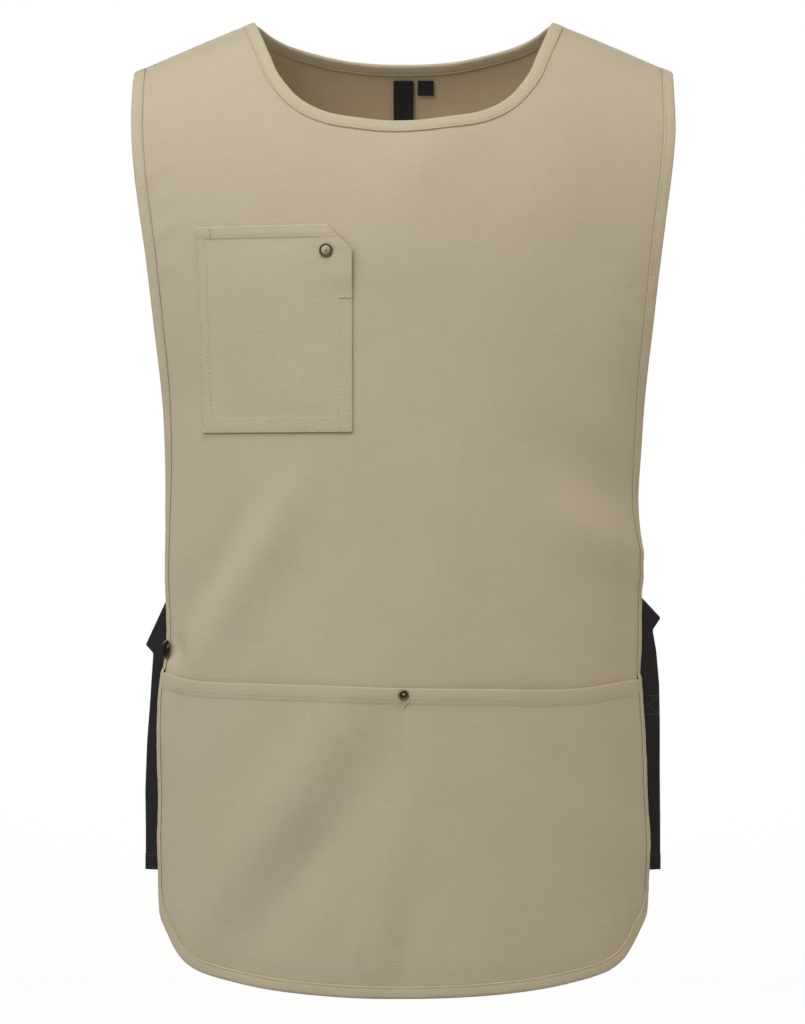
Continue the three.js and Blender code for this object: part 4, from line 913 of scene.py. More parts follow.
down = with_rim(toward_ends(58, 0.6), POCKET_TALL) * POCKET_TALL
down = np.unique(np.concatenate([down, [7.9, POCKET_HEM, 9.1, 9.8, POCKET_CUT]]))
over = with_rim(toward_ends(46, 0.6), POCKET_WIDE)
left, right = pocket_sides(down)
pocket_x = left[:, None] + (right - left)[:, None] * over[None]
pocket_d = np.broadcast_to(down[:, None], pocket_x.shape)
pocket_t, pocket_way = front.place(pocket_x.ravel(), -POCKET_TOP - pocket_d.ravel())
middle, thick, rim_gap = pocket_layers(pocket_x.ravel(), pocket_d.ravel())
pocket = sheet_over(
    "pocket", front, pocket_t, pocket_way, middle, thick * rolled(rim_gap), grid_quads(*pocket_x.shape),
    POCKET_WEAVE,
)
print("pocket:", len(pocket.data.polygons), "faces,", round(half_area(pocket) * 1e4), "cm2")

# %% [markdown]
# ## Shoulder seams
#
# Front and back are joined over each shoulder by a flat seam: the allowances are folded into each
# other and sewn down. A narrow strip of cloth that lies over both panels gives its rounded ridge.

# %% Shoulder seams
# distance from the seam, height over the middle of the panel
SEAM_ROWS = [(5.0, 0.75), (4.6, 1.3), (3.4, 1.55), (2.0, 1.7), (0.9, 1.75)]
SEAM_UNDER = 0.66
SEAM_COLUMNS = 30
EDGES = {front: (front_outline, front_neck), back: (back_outline, back_neck)}


def shoulder_span(face, hand, inset):
    """Places along one shoulder, from inside the outline to inside the neckline."""
    outer, inner = (
        line.inset(np.array([line.total if hand > 0 else 0.0]), inset)[0][0] for line in EDGES[face]
    )
    return np.linspace(outer, inner, SEAM_COLUMNS)


def shoulder_seam(name, hand):
    rows = [(front, *row) for row in SEAM_ROWS] + [(back, *row) for row in SEAM_ROWS[::-1]]
    upper, lower, uv = [], [], []
    for face, way, off in rows:
        t = shoulder_span(face, hand, BINDING_WIDE + 0.4)
        w = np.full_like(t, way)
        upper.append(face.at(t, w, off))
        lower.append(face.at(t, w, SEAM_UNDER))
        uv.append(np.stack([face.across_length(t, w), w if face is front else -w], -1))
    quads = grid_quads(len(rows), SEAM_COLUMNS)
    return two_layers(name, np.concatenate(upper), np.concatenate(lower), quads, np.concatenate(uv))


left_seam = shoulder_seam("left_shoulder_seam", -1)
right_seam = shoulder_seam("right_shoulder_seam", 1)
print("shoulder seam:", len(left_seam.data.polygons), "faces")

# %% [markdown]
# ## Straps and loops
#
# The side straps are flat webbing 25 mm wide. Each is sewn inside the back panel, comes forward, goes
# round the middle bar of its slide and hangs down after one fold. A loop of the same webbing, sewn
# behind the front panel, holds the slide. Webbing bends but does not stretch, so it is modelled as a
# ribbon through stations, each with its two edges and its facing.

# %% Strap stations
STRAP_WIDE, STRAP_THICK, ANCHOR_THICK = 25, 1.5, 1.2
BUCKLE_THICK, BUCKLE_BAR, BUCKLE_SLOT = 2.4, 3, 6
PITCH = BUCKLE_BAR + BUCKLE_SLOT
STRAP_TURN, STRAP_BEHIND, STRAP_SEWN, STRAP_BOW = 40, 7, 28, 12
TAIL_END, TAIL_HEM = 673, 13
# share of the length down, outer edge as a share of the width, share of the turn
TAIL_LEFT = [
    (0.6573, 0.72, 1.0), (0.677, 0.78, 1.0), (0.71, 0.87, 0.95), (0.75, 1.0, 0.85), (0.8, 1.08, 0.72),
    (0.84, 1.06, 0.66),
]
TAIL_RIGHT = [
    (0.633, 0.68, 1.0), (0.655, 0.84, 1.0), (0.69, 0.97, 0.95), (0.73, 1.0, 0.85), (0.78, 1.0, 0.75),
    (0.83, 1.02, 0.7),
]
# how far in from the front panel's edge the two layers of a loop are sewn
LOOP_UNDER, LOOP_OVER = (52, 44, 37, 30), (33, 40, 47)
UP = np.array([0.0, 0.0, 1.0])


class StrapSide:
    """Directions and home point of the webbing on one side of the wearer."""

    def __init__(self, sign, tilt, down, sewn_lower, tail, fold):
        self.sign, self.sewn_lower, self.tail, self.fold = sign, sewn_lower, tail, fold
        self.out0, self.n0 = self.out_dir(1.0), self.face_dir(1.0)
        centre_down = down * LENGTH
        self.edge_drop = centre_down + float(shoulder_line(0.87 * CHEST_HALF))
        t = sign * math.asin(float(wrap_at(self.edge_drop)))
        edge = frame_front.base(np.array(t), frame_front.way_of(np.array(self.edge_drop)))
        self.home = np.array([edge[0], edge[1], 0]) - self.n0 * STRAP_BEHIND
        lean = math.radians(tilt)
        self.e = self.out0 * math.cos(lean) + UP * math.sin(lean)
        self.b = -self.out0 * math.sin(lean) + UP * math.cos(lean)
        self.centre = self.flat(-0.32 * STRAP_WIDE, centre_down, 0)

    def out_dir(self, share):
        a = math.radians(STRAP_TURN * share)
        return np.array([self.sign * math.cos(a), math.sin(a), 0])

    def face_dir(self, share):
        a = math.radians(STRAP_TURN * share)
        return np.array([self.sign * math.sin(a), -math.cos(a), 0])

    def flat(self, out, down, lift):
        return self.home + self.out0 * out + self.n0 * lift - UP * down

    def local(self, along, wide, lift):
        return self.centre + self.e * along + self.b * wide + self.n0 * lift


def strap_stations(side):
    half, w2 = STRAP_THICK / 2, STRAP_WIDE / 2
    ply = BUCKLE_THICK / 2 + GAP + half
    stations = []

    def put(a, b, n, thick=half):
        stations.append((a, b, unit(np.asarray(n, float)), thick))

    sewn_off = -(PLY_AT + BINDING_PLY + GAP + half)
    back_drop = side.edge_drop + 0.02 * LENGTH

    def on_back(s, dz):
        drop = np.array(back_drop - dz)
        t, way = side.sign * np.arcsin(wrap_at(drop)), frame_back.way_of(drop)
        inner = unit(frame_back.base(t * 0.98, way) - frame_back.base(t, way))
        q = frame_back.shifted(*frame_back.shifted(t, way, inner * s / 2), inner * s / 2)
        return frame_back.at(*q, sewn_off), frame_back.facing(*q)

    for s in (STRAP_SEWN, 0.6 * STRAP_SEWN, 0.2 * STRAP_SEWN):
        (hi, hi_n), (lo, lo_n) = on_back(s, w2), on_back(s, -w2)
        put(hi, lo, hi_n + lo_n)
    last_hi, last_lo, last_n, _ = stations[-1]
    reach_out = PITCH + BUCKLE_BAR / 2 + 3
    first_hi, first_lo = side.local(reach_out, w2, -ply), side.local(reach_out, -w2, -ply)
    for k in (0.3, 0.55, 0.8):
        bow = np.array([side.sign * STRAP_BOW * k * (1 - k), 0, 0])
        put(last_hi + (first_hi - last_hi) * k + bow, last_lo + (first_lo - last_lo) * k + bow,
            last_n + (side.n0 - last_n) * k)
    put(first_hi, first_lo, side.n0)
    bend = (half + GAP) * math.sqrt(0.5)
    s_bend, n_bend = -BUCKLE_BAR / 2 - bend, BUCKLE_THICK / 2 + bend
    turn_at = BUCKLE_BAR / 2 + 1.5 * GAP + half
    for along, lift, n in (
        (-1, -ply, side.n0), (s_bend, -n_bend, side.n0 + side.e), (-turn_at, 0, side.e),
        (s_bend, n_bend, side.e - side.n0), (-1, ply, -side.n0),
    ):
        put(side.local(along, w2, lift), side.local(along, -w2, lift), n)
    rise = STRAP_THICK + GAP
    line_a = side.flat(side.fold[0][0] * STRAP_WIDE, side.fold[0][1] * LENGTH, 0)
    line_b = side.flat(side.fold[1][0] * STRAP_WIDE, side.fold[1][1] * LENGTH, 0)
    away = unit(np.cross(unit(line_b - line_a), side.n0))
    away = away if away @ side.e > 0 else -away
    for d, lift, n in (
        (-half - 0.2, ply, -side.n0), (0, ply + rise / 2, -away), (-half - 0.2, ply + rise, side.n0),
    ):
        put(line_a + away * d + side.n0 * lift, line_b + away * d + side.n0 * lift, n)

    def tail(down, out, turn, extra=0.0, thick=half):
        outer = side.flat(out * STRAP_WIDE, down * LENGTH + extra, ply + rise)
        put(outer - side.out_dir(turn) * STRAP_WIDE, outer, side.face_dir(turn), thick)

    for row in side.tail:
        tail(*row)
    _, out, turn = side.tail[-1]
    hem = (TAIL_END - TAIL_HEM) / LENGTH
    tail(hem, out, turn)
    tail(hem, out, turn, 0.8, STRAP_THICK)
    tail(TAIL_END / LENGTH, out, turn, 0, STRAP_THICK)
    return stations


def loop_stations(side):
    half, w2, bar = ANCHOR_THICK / 2, STRAP_WIDE / 2, -PITCH
    around = BUCKLE_BAR / 2 + 1.5 * GAP + half
    level = BUCKLE_THICK / 2 + GAP + half
    stations = []

    def sewn(s, dz, off):
        drop = np.array(side.edge_drop + side.sewn_lower * LENGTH - dz)
        t, way = side.sign * np.arcsin(wrap_at(drop)), front.way_of(drop)
        for _ in range(4):
            step = unit(front.base(t - side.sign * 0.01, way) - front.base(t, way))
            t, way = front.shifted(t, way, step * s / 4)
        return front.at(t, way, off), front.facing(t, way)

    def ride(s, off, sign):
        (hi, hi_n), (lo, lo_n) = sewn(s, w2, off), sewn(s, -w2, off)
        stations.append((hi, lo, unit(hi_n + lo_n) * sign, half))

    first = -(CANVAS / 2 + PATCH_GAP + half)
    second = first - ANCHOR_THICK - GAP
    for s in LOOP_UNDER:
        ride(s, first, 1)
    bend = (half + GAP) * math.sqrt(0.5)
    s_bend, n_bend = bar + BUCKLE_BAR / 2 + bend, BUCKLE_THICK / 2 + bend
    for along, lift, n in (
        (bar - 1, level, side.n0), (bar + 1, level, side.n0), (s_bend, n_bend, side.n0 + side.e),
        (bar + around, 0, side.e), (s_bend, -n_bend, side.e - side.n0), (bar + 1, -level, -side.n0),
        (bar - 1, -level, -side.n0), (bar - BUCKLE_BAR / 2 - bend, -n_bend, -side.n0 - side.e),
    ):
        stations.append((side.local(along, w2, lift), side.local(along, -w2, lift), unit(n), half))
    for s in LOOP_OVER:
        ride(s, second, -1)
    return stations


left_side = StrapSide(-1, -25, 0.6094, -0.006, TAIL_LEFT, [(0.152, 0.599), (1.09, 0.648)])
right_side = StrapSide(1, 14, 0.6165, 0.019, TAIL_RIGHT, [(0.2, 0.5976), (1.06, 0.6197)])
print("left slide sits at", left_side.centre.round(1), "and right slide at", right_side.centre.round(1))

# %% [markdown]
# ## A ribbon through stations
#
# The stations are joined by short steps, and the steps are smoothed over a millimetre, so a bend
# round a bar is a curve and not a crease. The section is flat with slightly thinner selvedges.

# %% Ribbon
RIBBON_STEP = 1.1
SOFTEN = 3
ACROSS = np.array([-1, -0.985, -0.94, -0.8, -0.6, -0.36, -0.12, 0.12, 0.36, 0.6, 0.8, 0.94, 0.985, 1])
EDGE_THICK = np.interp(np.abs(ACROSS), [0.9, 0.945, 0.985, 1.0], [1.0, 0.96, 0.78, 0.3])


def ribbon_rows(stations):
    a, b, n, half = (np.array(column) for column in zip(*stations))
    steps = np.linalg.norm(np.diff((a + b) / 2, axis=0), axis=1)
    run = np.concatenate([[0], np.cumsum(np.maximum(steps, 0.05))])
    at = np.linspace(0, run[-1], int(run[-1] / RIBBON_STEP) + 2)

    def spread(rows):
        return np.stack([np.interp(at, run, rows[:, c]) for c in range(3)], -1)

    a, b, n, half = spread(a), spread(b), spread(n), np.interp(at, run, half)
    for _ in range(SOFTEN):
        for rows in (a, b, n):
            rows[1:-1] = rows[1:-1] / 2 + (rows[:-2] + rows[2:]) / 4
    return at, a, b, unit(n), half


def ribbon(name, stations):
    at, a, b, n, half = ribbon_rows(stations)
    middle, wide = (a + b) / 2, (a - b) / 2
    rows = [middle + wide * w + n * (half * k)[:, None] for w, k in zip(ACROSS, EDGE_THICK)]
    rows += [middle + wide * w - n * (half * k)[:, None] for w, k in zip(ACROSS[::-1], EDGE_THICK[::-1])]
    section = np.stack(rows, 1)
    wide_mm = np.concatenate([ACROSS, ACROSS[::-1]]) * STRAP_WIDE / 2
    uv = np.stack(np.broadcast_arrays(wide_mm[None], at[:, None]), -1).reshape(-1, 2)
    return object_of(name, section.reshape(-1, 3), tube_faces(*section.shape[:2]), uv), at[-1]


left_stations, right_stations = strap_stations(left_side), strap_stations(right_side)
left_strap, left_length = ribbon("left_strap", left_stations)
right_strap, right_length = ribbon("right_strap", right_stations)
left_loop, left_loop_length = ribbon("left_loop", loop_stations(left_side))
right_loop, right_loop_length = ribbon("right_loop", loop_stations(right_side))
print("straps:", round(left_length), "and", round(right_length), "mm long; loops:",
      round(left_loop_length), "and", round(right_loop_length), "mm")

# %% [markdown]
# ## Slides
#
# The slides are moulded plastic frames with three bars. Their shape in the CAD model is right, but a
# moulded edge is never sharp, so a merged copy of each gets a small bevel.

# %% Slides
WELD_WITHIN, BEVEL_WIDE = 0.00002, 0.0005


def bevelled_copy(node, name):
    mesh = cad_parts[node].data.copy()
    mesh.materials.clear()
    obj = linked(name, mesh)
    weld = obj.modifiers.new("weld", "WELD")
    weld.merge_threshold = WELD_WITHIN
    bevel = obj.modifiers.new("bevel", "BEVEL")
    bevel.width = BEVEL_WIDE
    bevel.segments = 3
    bevel.limit_method = "ANGLE"
    bevel.angle_limit = math.radians(30)
    return settled(obj)


def settled(obj):
    """The object with its modifiers turned into its mesh."""
    graph = bpy.context.evaluated_depsgraph_get()
    mesh = bpy.data.meshes.new_from_object(obj.evaluated_get(graph))
    mesh.name = obj.name
    obj.modifiers.clear()
    obj.data = mesh
    mesh.shade_smooth()
    return obj


left_slide = bevelled_copy("left_slide_buckle", "left_slide")
right_slide = bevelled_copy("right_slide_buckle", "right_slide")
print("slide:", len(left_slide.data.polygons), "faces")

# %% [markdown]
# ## Rivets and press stud
#
# Each is a turned shape, so it is made by sweeping a profile round an axis that stands square on the
# cloth. The rivets are open rings with a small domed pip in the middle. A value at each point says
# how much a hand rubs it, which the metal finish reads to show brass on the high rims.

# %% Turned metal
TURN_SIDES = 56


def turned_piece(name, node, place, profile, radius, high):
    """Sweeps a profile round the axis of a place, which is a point and its facing."""
    origin, axis = place
    side = unit(np.cross(axis, UP + 0.01))
    other = np.cross(axis, side)
    angle = np.linspace(0, 2 * math.pi, TURN_SIDES, endpoint=False)
    ring = np.cos(angle)[:, None] * side + np.sin(angle)[:, None] * other
    points = [origin + ring * (r * radius) + axis * (h * high) for r, h, _ in profile]
    faces = [tuple(q) for q in tube_quads(len(profile), TURN_SIDES, False).tolist()]
    last = (len(profile) - 1) * TURN_SIDES
    # the discs that close the two ends run round the other way from those of tube_faces
    faces += [tuple(range(TURN_SIDES)), tuple(range(last, last + TURN_SIDES)[::-1])]
    obj = object_of(name, np.concatenate(points), faces)
    rubbed = np.repeat([p[2] for p in profile], TURN_SIDES).astype(np.float32)
    obj.data.attributes.new("rubbed", "FLOAT", "POINT").data.foreach_set("value", rubbed)
    centre = np.mean(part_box(node), axis=0)
    print(name, "is", round(float(np.linalg.norm(origin * MM - centre)) * 1000, 1), "mm from its node")
    return obj


POUCH_RIVET_R, POCKET_RIVET_R, SNAP_R, RIVET_HIGH, SNAP_HIGH = 4.3, 5.4, 7.2, 1.5, 3
SNAP_DOWN, SNAP_IN = 498, 8.5
pouch_rivet_at = front.spot(0.0, -POUCH_TOP - HEM_HEIGHT / 2, PLY_AT + POCKET_CLOTH + HEM_EXTRA + GAP)
pocket_rivet_at = front.spot(
    -POCKET_LEFT + POCKET_WIDE - POCKET_CUT, -POCKET_TOP - POCKET_CUT,
    POCKET_AT + POCKET_CLOTH + 2 * GAP + 0.3 * POCKET_GAPE,
)
snap_s = front_outline.length_where(lambda way, p: -p[:, 2] - SNAP_DOWN)
snap_t, snap_way = front_outline.inset(np.array([snap_s]), SNAP_IN)
snap_at = (
    front.at(snap_t, snap_way, PLY_AT + BINDING_PLY + 2 * GAP)[0],
    front.facing(snap_t, snap_way)[0],
)

# share of the radius, share of the height, rubbing from 0 to 1
RING = [
    (0.93, 0, 0), (0.985, 0.1, 0.2), (1, 0.32, 0.75), (0.985, 0.55, 0.9), (0.94, 0.76, 1), (0.86, 0.92, 1),
    (0.77, 1, 0.95), (0.68, 0.95, 0.7), (0.61, 0.78, 0.3), (0.56, 0.55, 0.05), (0.52, 0.38, 0),
    (0.46, 0.34, 0), (0.42, 0.38, 0.15), (0.38, 0.56, 0.6), (0.31, 0.74, 0.9), (0.2, 0.86, 1), (0.08, 0.9, 1),
]
EYELET = [
    (0.93, 0, 0), (0.985, 0.1, 0.1), (1, 0.32, 0.3), (0.985, 0.55, 0.4), (0.94, 0.72, 0.45), (0.88, 0.8, 0.3),
    (0.82, 0.74, 0.1), (0.77, 0.58, 0), (0.73, 0.5, 0), (0.69, 0.56, 0.5), (0.64, 0.68, 0.9), (0.5, 0.78, 1),
    (0.3, 0.84, 1), (0.08, 0.86, 1),
]
CAP = [
    (0.86, 0, 0), (0.93, 0.04, 0.1), (0.98, 0.14, 0.5), (1, 0.26, 0.85), (0.99, 0.4, 1), (0.95, 0.55, 0.9),
    (0.88, 0.7, 0.6), (0.79, 0.81, 0.45), (0.68, 0.885, 0.3), (0.55, 0.94, 0.25), (0.4, 0.975, 0.25),
    (0.2, 0.995, 0.3), (0.06, 1, 0.3),
]
pouch_rivet = turned_piece(
    "pouch_rivet_ring", "pouch_rivet", pouch_rivet_at, RING, POUCH_RIVET_R, RIVET_HIGH
)
pocket_rivet = turned_piece(
    "pocket_rivet_ring", "pocket_rivet", pocket_rivet_at, EYELET, POCKET_RIVET_R, RIVET_HIGH
)
snap = turned_piece("side_press_stud", "side_snap", snap_at, CAP, SNAP_R, SNAP_HIGH)

# %% [markdown]
# ## Labels
#
# Two small woven tapes hang inside the back of the neck. They are thin and stiff, so they curl a
# little at the free end. Both are left bare.

# %% Labels
LABEL_CLEAR, LABEL_THIN = 1.1, 0.5
LABEL_GRID = (26, 14)
NECK_LABEL, SIZE_LABEL, LABEL_APART = (16.3, 40), (13, 11), 3.5


def label(name, middle, wide, long, curl):
    top = -BACK_NECK_DROP - BINDING_WIDE - GAP - 0.4
    k = np.linspace(0, 1, LABEL_GRID[0])[:, None]
    over = np.linspace(-0.5, 0.5, LABEL_GRID[1])[None]
    x = np.broadcast_to(middle + over * wide, LABEL_GRID).ravel()
    z = np.broadcast_to(top - k * long, LABEL_GRID).ravel()
    t, way = back.place(x, z)
    bow = (curl * (k**2 + 0.35 * (2 * over) ** 2 * k)).ravel()
    edge = 1 - 0.6 * np.broadcast_to(np.abs(2 * over) > 0.99, LABEL_GRID).ravel()
    off = -(CANVAS / 2 + LABEL_CLEAR) - bow
    upper = back.at(t, way, off + LABEL_THIN / 2 * (edge - 1))
    lower = back.at(t, way, off - LABEL_THIN / 2 * (1 + edge))
    return two_layers(name, upper, lower, grid_quads(*LABEL_GRID), np.stack([x - middle, z - top], -1))


neck_label = label("neck_tab", 0, *NECK_LABEL, 2.2)
size_label = label("size_tab", NECK_LABEL[0] / 2 + LABEL_APART + SIZE_LABEL[0] / 2, *SIZE_LABEL, 0.8)
print("labels:", round(half_area(neck_label) * 1e4, 1), "and", round(half_area(size_label) * 1e4, 1), "cm2")

# %% [markdown]
# ## Stitches
#
# Every seam is a row of short raised stitches. That is a shape that repeats along a path, so one
# Geometry Nodes tree makes them all. It reads lines of points that lie on the cloth, sets a small
# bead at each step, turns it along the line and square to the cloth, and varies it a little.

# %% Stitch tree


def stitch_tree():
    tree = bpy.data.node_groups.new("Row of stitches", "GeometryNodeTree")
    face = tree.interface
    face.new_socket(name="Geometry", in_out="INPUT", socket_type="NodeSocketGeometry")
    for name, value in (
        ("Step", 0.003), ("Stitch Length", 0.0024), ("Thread Width", 0.0006), ("Thread Height", 0.0005),
        ("Turn", 0.0), ("Wander", 0.06),
    ):
        face.new_socket(name=name, in_out="INPUT", socket_type="NodeSocketFloat").default_value = value
    face.new_socket(name="Thread", in_out="INPUT", socket_type="NodeSocketMaterial")
    face.new_socket(name="Geometry", in_out="OUTPUT", socket_type="NodeSocketGeometry")
    add = tree.nodes.new
    given = add("NodeGroupInput")
    curve = add("GeometryNodeMeshToCurve")
    points = add("GeometryNodeCurveToPoints")
    points.mode = "LENGTH"
    facing = add("GeometryNodeInputNamedAttribute")
    facing.data_type = "FLOAT_VECTOR"
    facing.inputs["Name"].default_value = "cloth_facing"
    aim = add("FunctionNodeAxesToRotation")
    aim.primary_axis, aim.secondary_axis = "Z", "X"
    wander = add("FunctionNodeRandomValue")
    wander.data_type = "FLOAT"
    wander.inputs["Seed"].default_value = 7
    less = add("ShaderNodeMath")
    less.operation = "MULTIPLY"
    less.inputs[1].default_value = -1.0
    yaw = add("ShaderNodeMath")
    yaw.operation = "ADD"
    swing = add("ShaderNodeCombineXYZ")
    turn = add("FunctionNodeRotateRotation")
    turn.rotation_space = "LOCAL"
    euler = add("FunctionNodeEulerToRotation")
    size = add("ShaderNodeCombineXYZ")
    bead = add("GeometryNodeMeshIcoSphere")
    bead.inputs["Radius"].default_value = 0.5
    bead.inputs["Subdivisions"].default_value = 1
    place = add("GeometryNodeInstanceOnPoints")
    real = add("GeometryNodeRealizeInstances")
    soft = add("GeometryNodeSetShadeSmooth")
    paint = add("GeometryNodeSetMaterial")
    out = add("NodeGroupOutput")
    for source, output, target, socket in (
        (given, "Geometry", curve, "Mesh"), (curve, "Curve", points, "Curve"),
        (given, "Step", points, "Length"),
        (facing, "Attribute", aim, "Primary Axis"), (points, "Tangent", aim, "Secondary Axis"),
        (given, "Wander", less, 0), (less, 0, wander, "Min"), (given, "Wander", wander, "Max"),
        (wander, "Value", yaw, 0), (given, "Turn", yaw, 1), (yaw, 0, swing, "Z"), (swing, 0, euler, "Euler"),
        (aim, "Rotation", turn, "Rotation"), (euler, "Rotation", turn, "Rotate By"),
        (given, "Stitch Length", size, "X"), (given, "Thread Width", size, "Y"),
        (given, "Thread Height", size, "Z"), (points, "Points", place, "Points"),
        (bead, "Mesh", place, "Instance"), (turn, "Rotation", place, "Rotation"), (size, 0, place, "Scale"),
        (place, "Instances", real, "Geometry"), (real, "Geometry", soft, "Geometry"),
        (soft, "Geometry", paint, "Geometry"), (given, "Thread", paint, "Material"),
        (paint, "Geometry", out, "Geometry"),
    ):
        tree.links.new(source.outputs[output], target.inputs[socket])
    return tree


STITCH_TREE = stitch_tree()
print("stitch tree:", len(STITCH_TREE.nodes), "nodes")

# %% [markdown]
# ## Rows of stitches on the piece
#
# A row is a line of points with the direction the cloth faces there. A helper makes the mesh of
# lines, gives the tree its sizes by the sockets' identifiers, and turns the result into a plain mesh.

# %% Sewing helper
# length between two points of a row
ROW_STEP = 4


def sewn(name, rows, material, **sizes):
    """rows: pairs of points and facings, in millimetres. sizes are the tree's inputs, in metres."""
    points, facing, edges, start = [], [], [], 0
    for p, n in rows:
        points.append(np.asarray(p) * MM)
        facing.append(np.asarray(n))
        edges += [(start + i, start + i + 1) for i in range(len(p) - 1)]
        start += len(p)
    mesh = bpy.data.meshes.new(name)
    mesh.from_pydata(np.concatenate(points).tolist(), edges, [])
    facing = np.concatenate(facing).astype(np.float32)
    mesh.attributes.new("cloth_facing", "FLOAT_VECTOR", "POINT").data.foreach_set("vector", facing.ravel())
    obj = linked(name, mesh)
    nodes = obj.modifiers.new("stitches", "NODES")
    nodes.node_group = STITCH_TREE
    for item in STITCH_TREE.interface.items_tree:
        key = item.name.lower().replace(" ", "_")
        if item.in_out == "INPUT" and key in sizes:
            nodes[item.identifier] = sizes[key]
        if item.in_out == "INPUT" and key == "thread":
            nodes[item.identifier] = material
    settled(obj)
    print(name, len(obj.data.polygons), "faces")
    return obj


def tape_row(line, margin, off, sign):
    """A row along a tape, from a margin after the line's start to one before its end."""
    s = np.linspace(margin, line.total - margin, int((line.total - 2 * margin) / ROW_STEP))
    place = line.inset(s, TAPE_LINE)
    off = off(line, s) if callable(off) else np.full_like(s, off)
    return line.face.at(*place, off * sign), line.face.facing(*place) * sign


# %% [markdown]
# ## Weave, slub and dye as node groups
#
# Canvas, tape and labels are all plain weave, so one group gives their height at any thread count.
# Cheap cotton yarn has thick places, called slubs, which show as short level streaks. Dye takes
# unevenly over a hand's breadth. Both are groups too, because several finishes use them.

# %% Group helper


def new_group(name, inputs, outputs):
    group = bpy.data.node_groups.new(name, "ShaderNodeTree")
    for label_text, kind, value in inputs:
        socket = group.interface.new_socket(name=label_text, in_out="INPUT", socket_type=kind)
        if value is not None:
            socket.default_value = value
    for label_text, kind in outputs:
        group.interface.new_socket(name=label_text, in_out="OUTPUT", socket_type=kind)
    return group, group.nodes.new("NodeGroupInput"), group.nodes.new("NodeGroupOutput")


def maths(tree, operation, a, b=None, clamp=False):
    """A Math node whose inputs are sockets or numbers. Gives its output socket."""
    node = tree.nodes.new("ShaderNodeMath")
    node.operation = operation
    node.use_clamp = clamp
    for i, value in enumerate((a, b)):
        if value is None:
            continue
        if isinstance(value, (int, float)):
            node.inputs[i].default_value = value
        else:
            tree.links.new(value, node.inputs[i])
    return node.outputs[0]


FLOAT, VECTOR = "NodeSocketFloat", "NodeSocketVector"


# %% Plain weave


def plain_weave():
    group, given, out = new_group(
        "Plain weave", [("Vector", VECTOR, None), ("Thread Spacing", FLOAT, 0.0005)], [("Height", FLOAT)]
    )
    parts = group.nodes.new("ShaderNodeSeparateXYZ")
    group.links.new(given.outputs["Vector"], parts.inputs[0])
    waves = []
    for axis in ("X", "Y"):
        turns = maths(group, "DIVIDE", parts.outputs[axis], given.outputs["Thread Spacing"])
        waves.append(maths(group, "SINE", maths(group, "MULTIPLY", turns, math.pi)))
    over = maths(group, "ABSOLUTE", maths(group, "MULTIPLY", waves[0], waves[1]))
    group.links.new(maths(group, "POWER", over, 0.6), out.inputs["Height"])
    return group


# %% Slubs and dye


def noise_at(group, vector, detail, roughness=0.5):
    noise = group.nodes.new("ShaderNodeTexNoise")
    for name, value in (("Scale", 1.0), ("Detail", detail), ("Roughness", roughness)):
        noise.inputs[name].default_value = value
    group.links.new(vector, noise.inputs["Vector"])
    return noise.outputs["Fac"]


def streaks():
    group, given, out = new_group(
        "Slub streaks",
        [
            ("Vector", VECTOR, None), ("Streak Length", FLOAT, 0.03), ("Streak Height", FLOAT, 0.0012),
            ("Seed", FLOAT, 0.0),
        ],
        [("Mask", FLOAT)],
    )
    parts = group.nodes.new("ShaderNodeSeparateXYZ")
    group.links.new(given.outputs["Vector"], parts.inputs[0])
    joined = group.nodes.new("ShaderNodeCombineXYZ")
    for axis, size in (("X", "Streak Length"), ("Y", "Streak Height")):
        group.links.new(maths(group, "DIVIDE", parts.outputs[axis], given.outputs[size]), joined.inputs[axis])
    group.links.new(given.outputs["Seed"], joined.inputs["Z"])
    spread = group.nodes.new("ShaderNodeMapRange")
    spread.inputs["From Min"].default_value = 0.32
    spread.inputs["From Max"].default_value = 0.68
    group.links.new(noise_at(group, joined.outputs[0], 3.0, 0.6), spread.inputs["Value"])
    group.links.new(spread.outputs["Result"], out.inputs["Mask"])
    return group


def dye():
    group, given, out = new_group(
        "Uneven dye", [("Vector", VECTOR, None), ("Patch Size", FLOAT, 0.07)], [("Mask", FLOAT)]
    )
    scaled = group.nodes.new("ShaderNodeVectorMath")
    scaled.operation = "SCALE"
    group.links.new(given.outputs["Vector"], scaled.inputs[0])
    group.links.new(maths(group, "DIVIDE", 1.0, given.outputs["Patch Size"]), scaled.inputs["Scale"])
    group.links.new(noise_at(group, scaled.outputs[0], 4.0), out.inputs["Mask"])
    return group


WEAVE, STREAKS, DYE = plain_weave(), streaks(), dye()
print("groups:", [g.name for g in (WEAVE, STREAKS, DYE)])

# %% [markdown]
# ## Finishes
#
# Colour, roughness and relief all come from the same masks, so a thick yarn is a little lighter,
# rougher and higher at once, as on the real cloth. Sheen stands for the loose fibres that light a
# cloth's edge when it is seen slantwise.

# %% Material helper


def new_material(name, roughness, sheen=0.0, sheen_roughness=0.5, metallic=0.0, specular=0.5):
    material = bpy.data.materials.new(name)
    material.use_nodes = True
    tree = material.node_tree
    shader = tree.nodes["Principled BSDF"]
    shader.inputs["Roughness"].default_value = roughness
    shader.inputs["Sheen Weight"].default_value = sheen
    shader.inputs["Sheen Roughness"].default_value = sheen_roughness
    shader.inputs["Metallic"].default_value = metallic
    shader.inputs["Specular IOR Level"].default_value = specular
    return material, tree, shader


def placed(tree, group, vector, **values):
    node = tree.nodes.new("ShaderNodeGroup")
    node.node_tree = group
    tree.links.new(vector, node.inputs["Vector"])
    for name, value in values.items():
        node.inputs[name.replace("_", " ")].default_value = value
    return node.outputs[0]


def two_tone(tree, mask, dark, light):
    ramp = tree.nodes.new("ShaderNodeMix")
    ramp.data_type = "RGBA"
    ramp.clamp_factor = False
    tree.links.new(mask, ramp.inputs["Factor"])
    ramp.inputs["A"].default_value = (*dark, 1)
    ramp.inputs["B"].default_value = (*light, 1)
    return ramp.outputs["Result"]


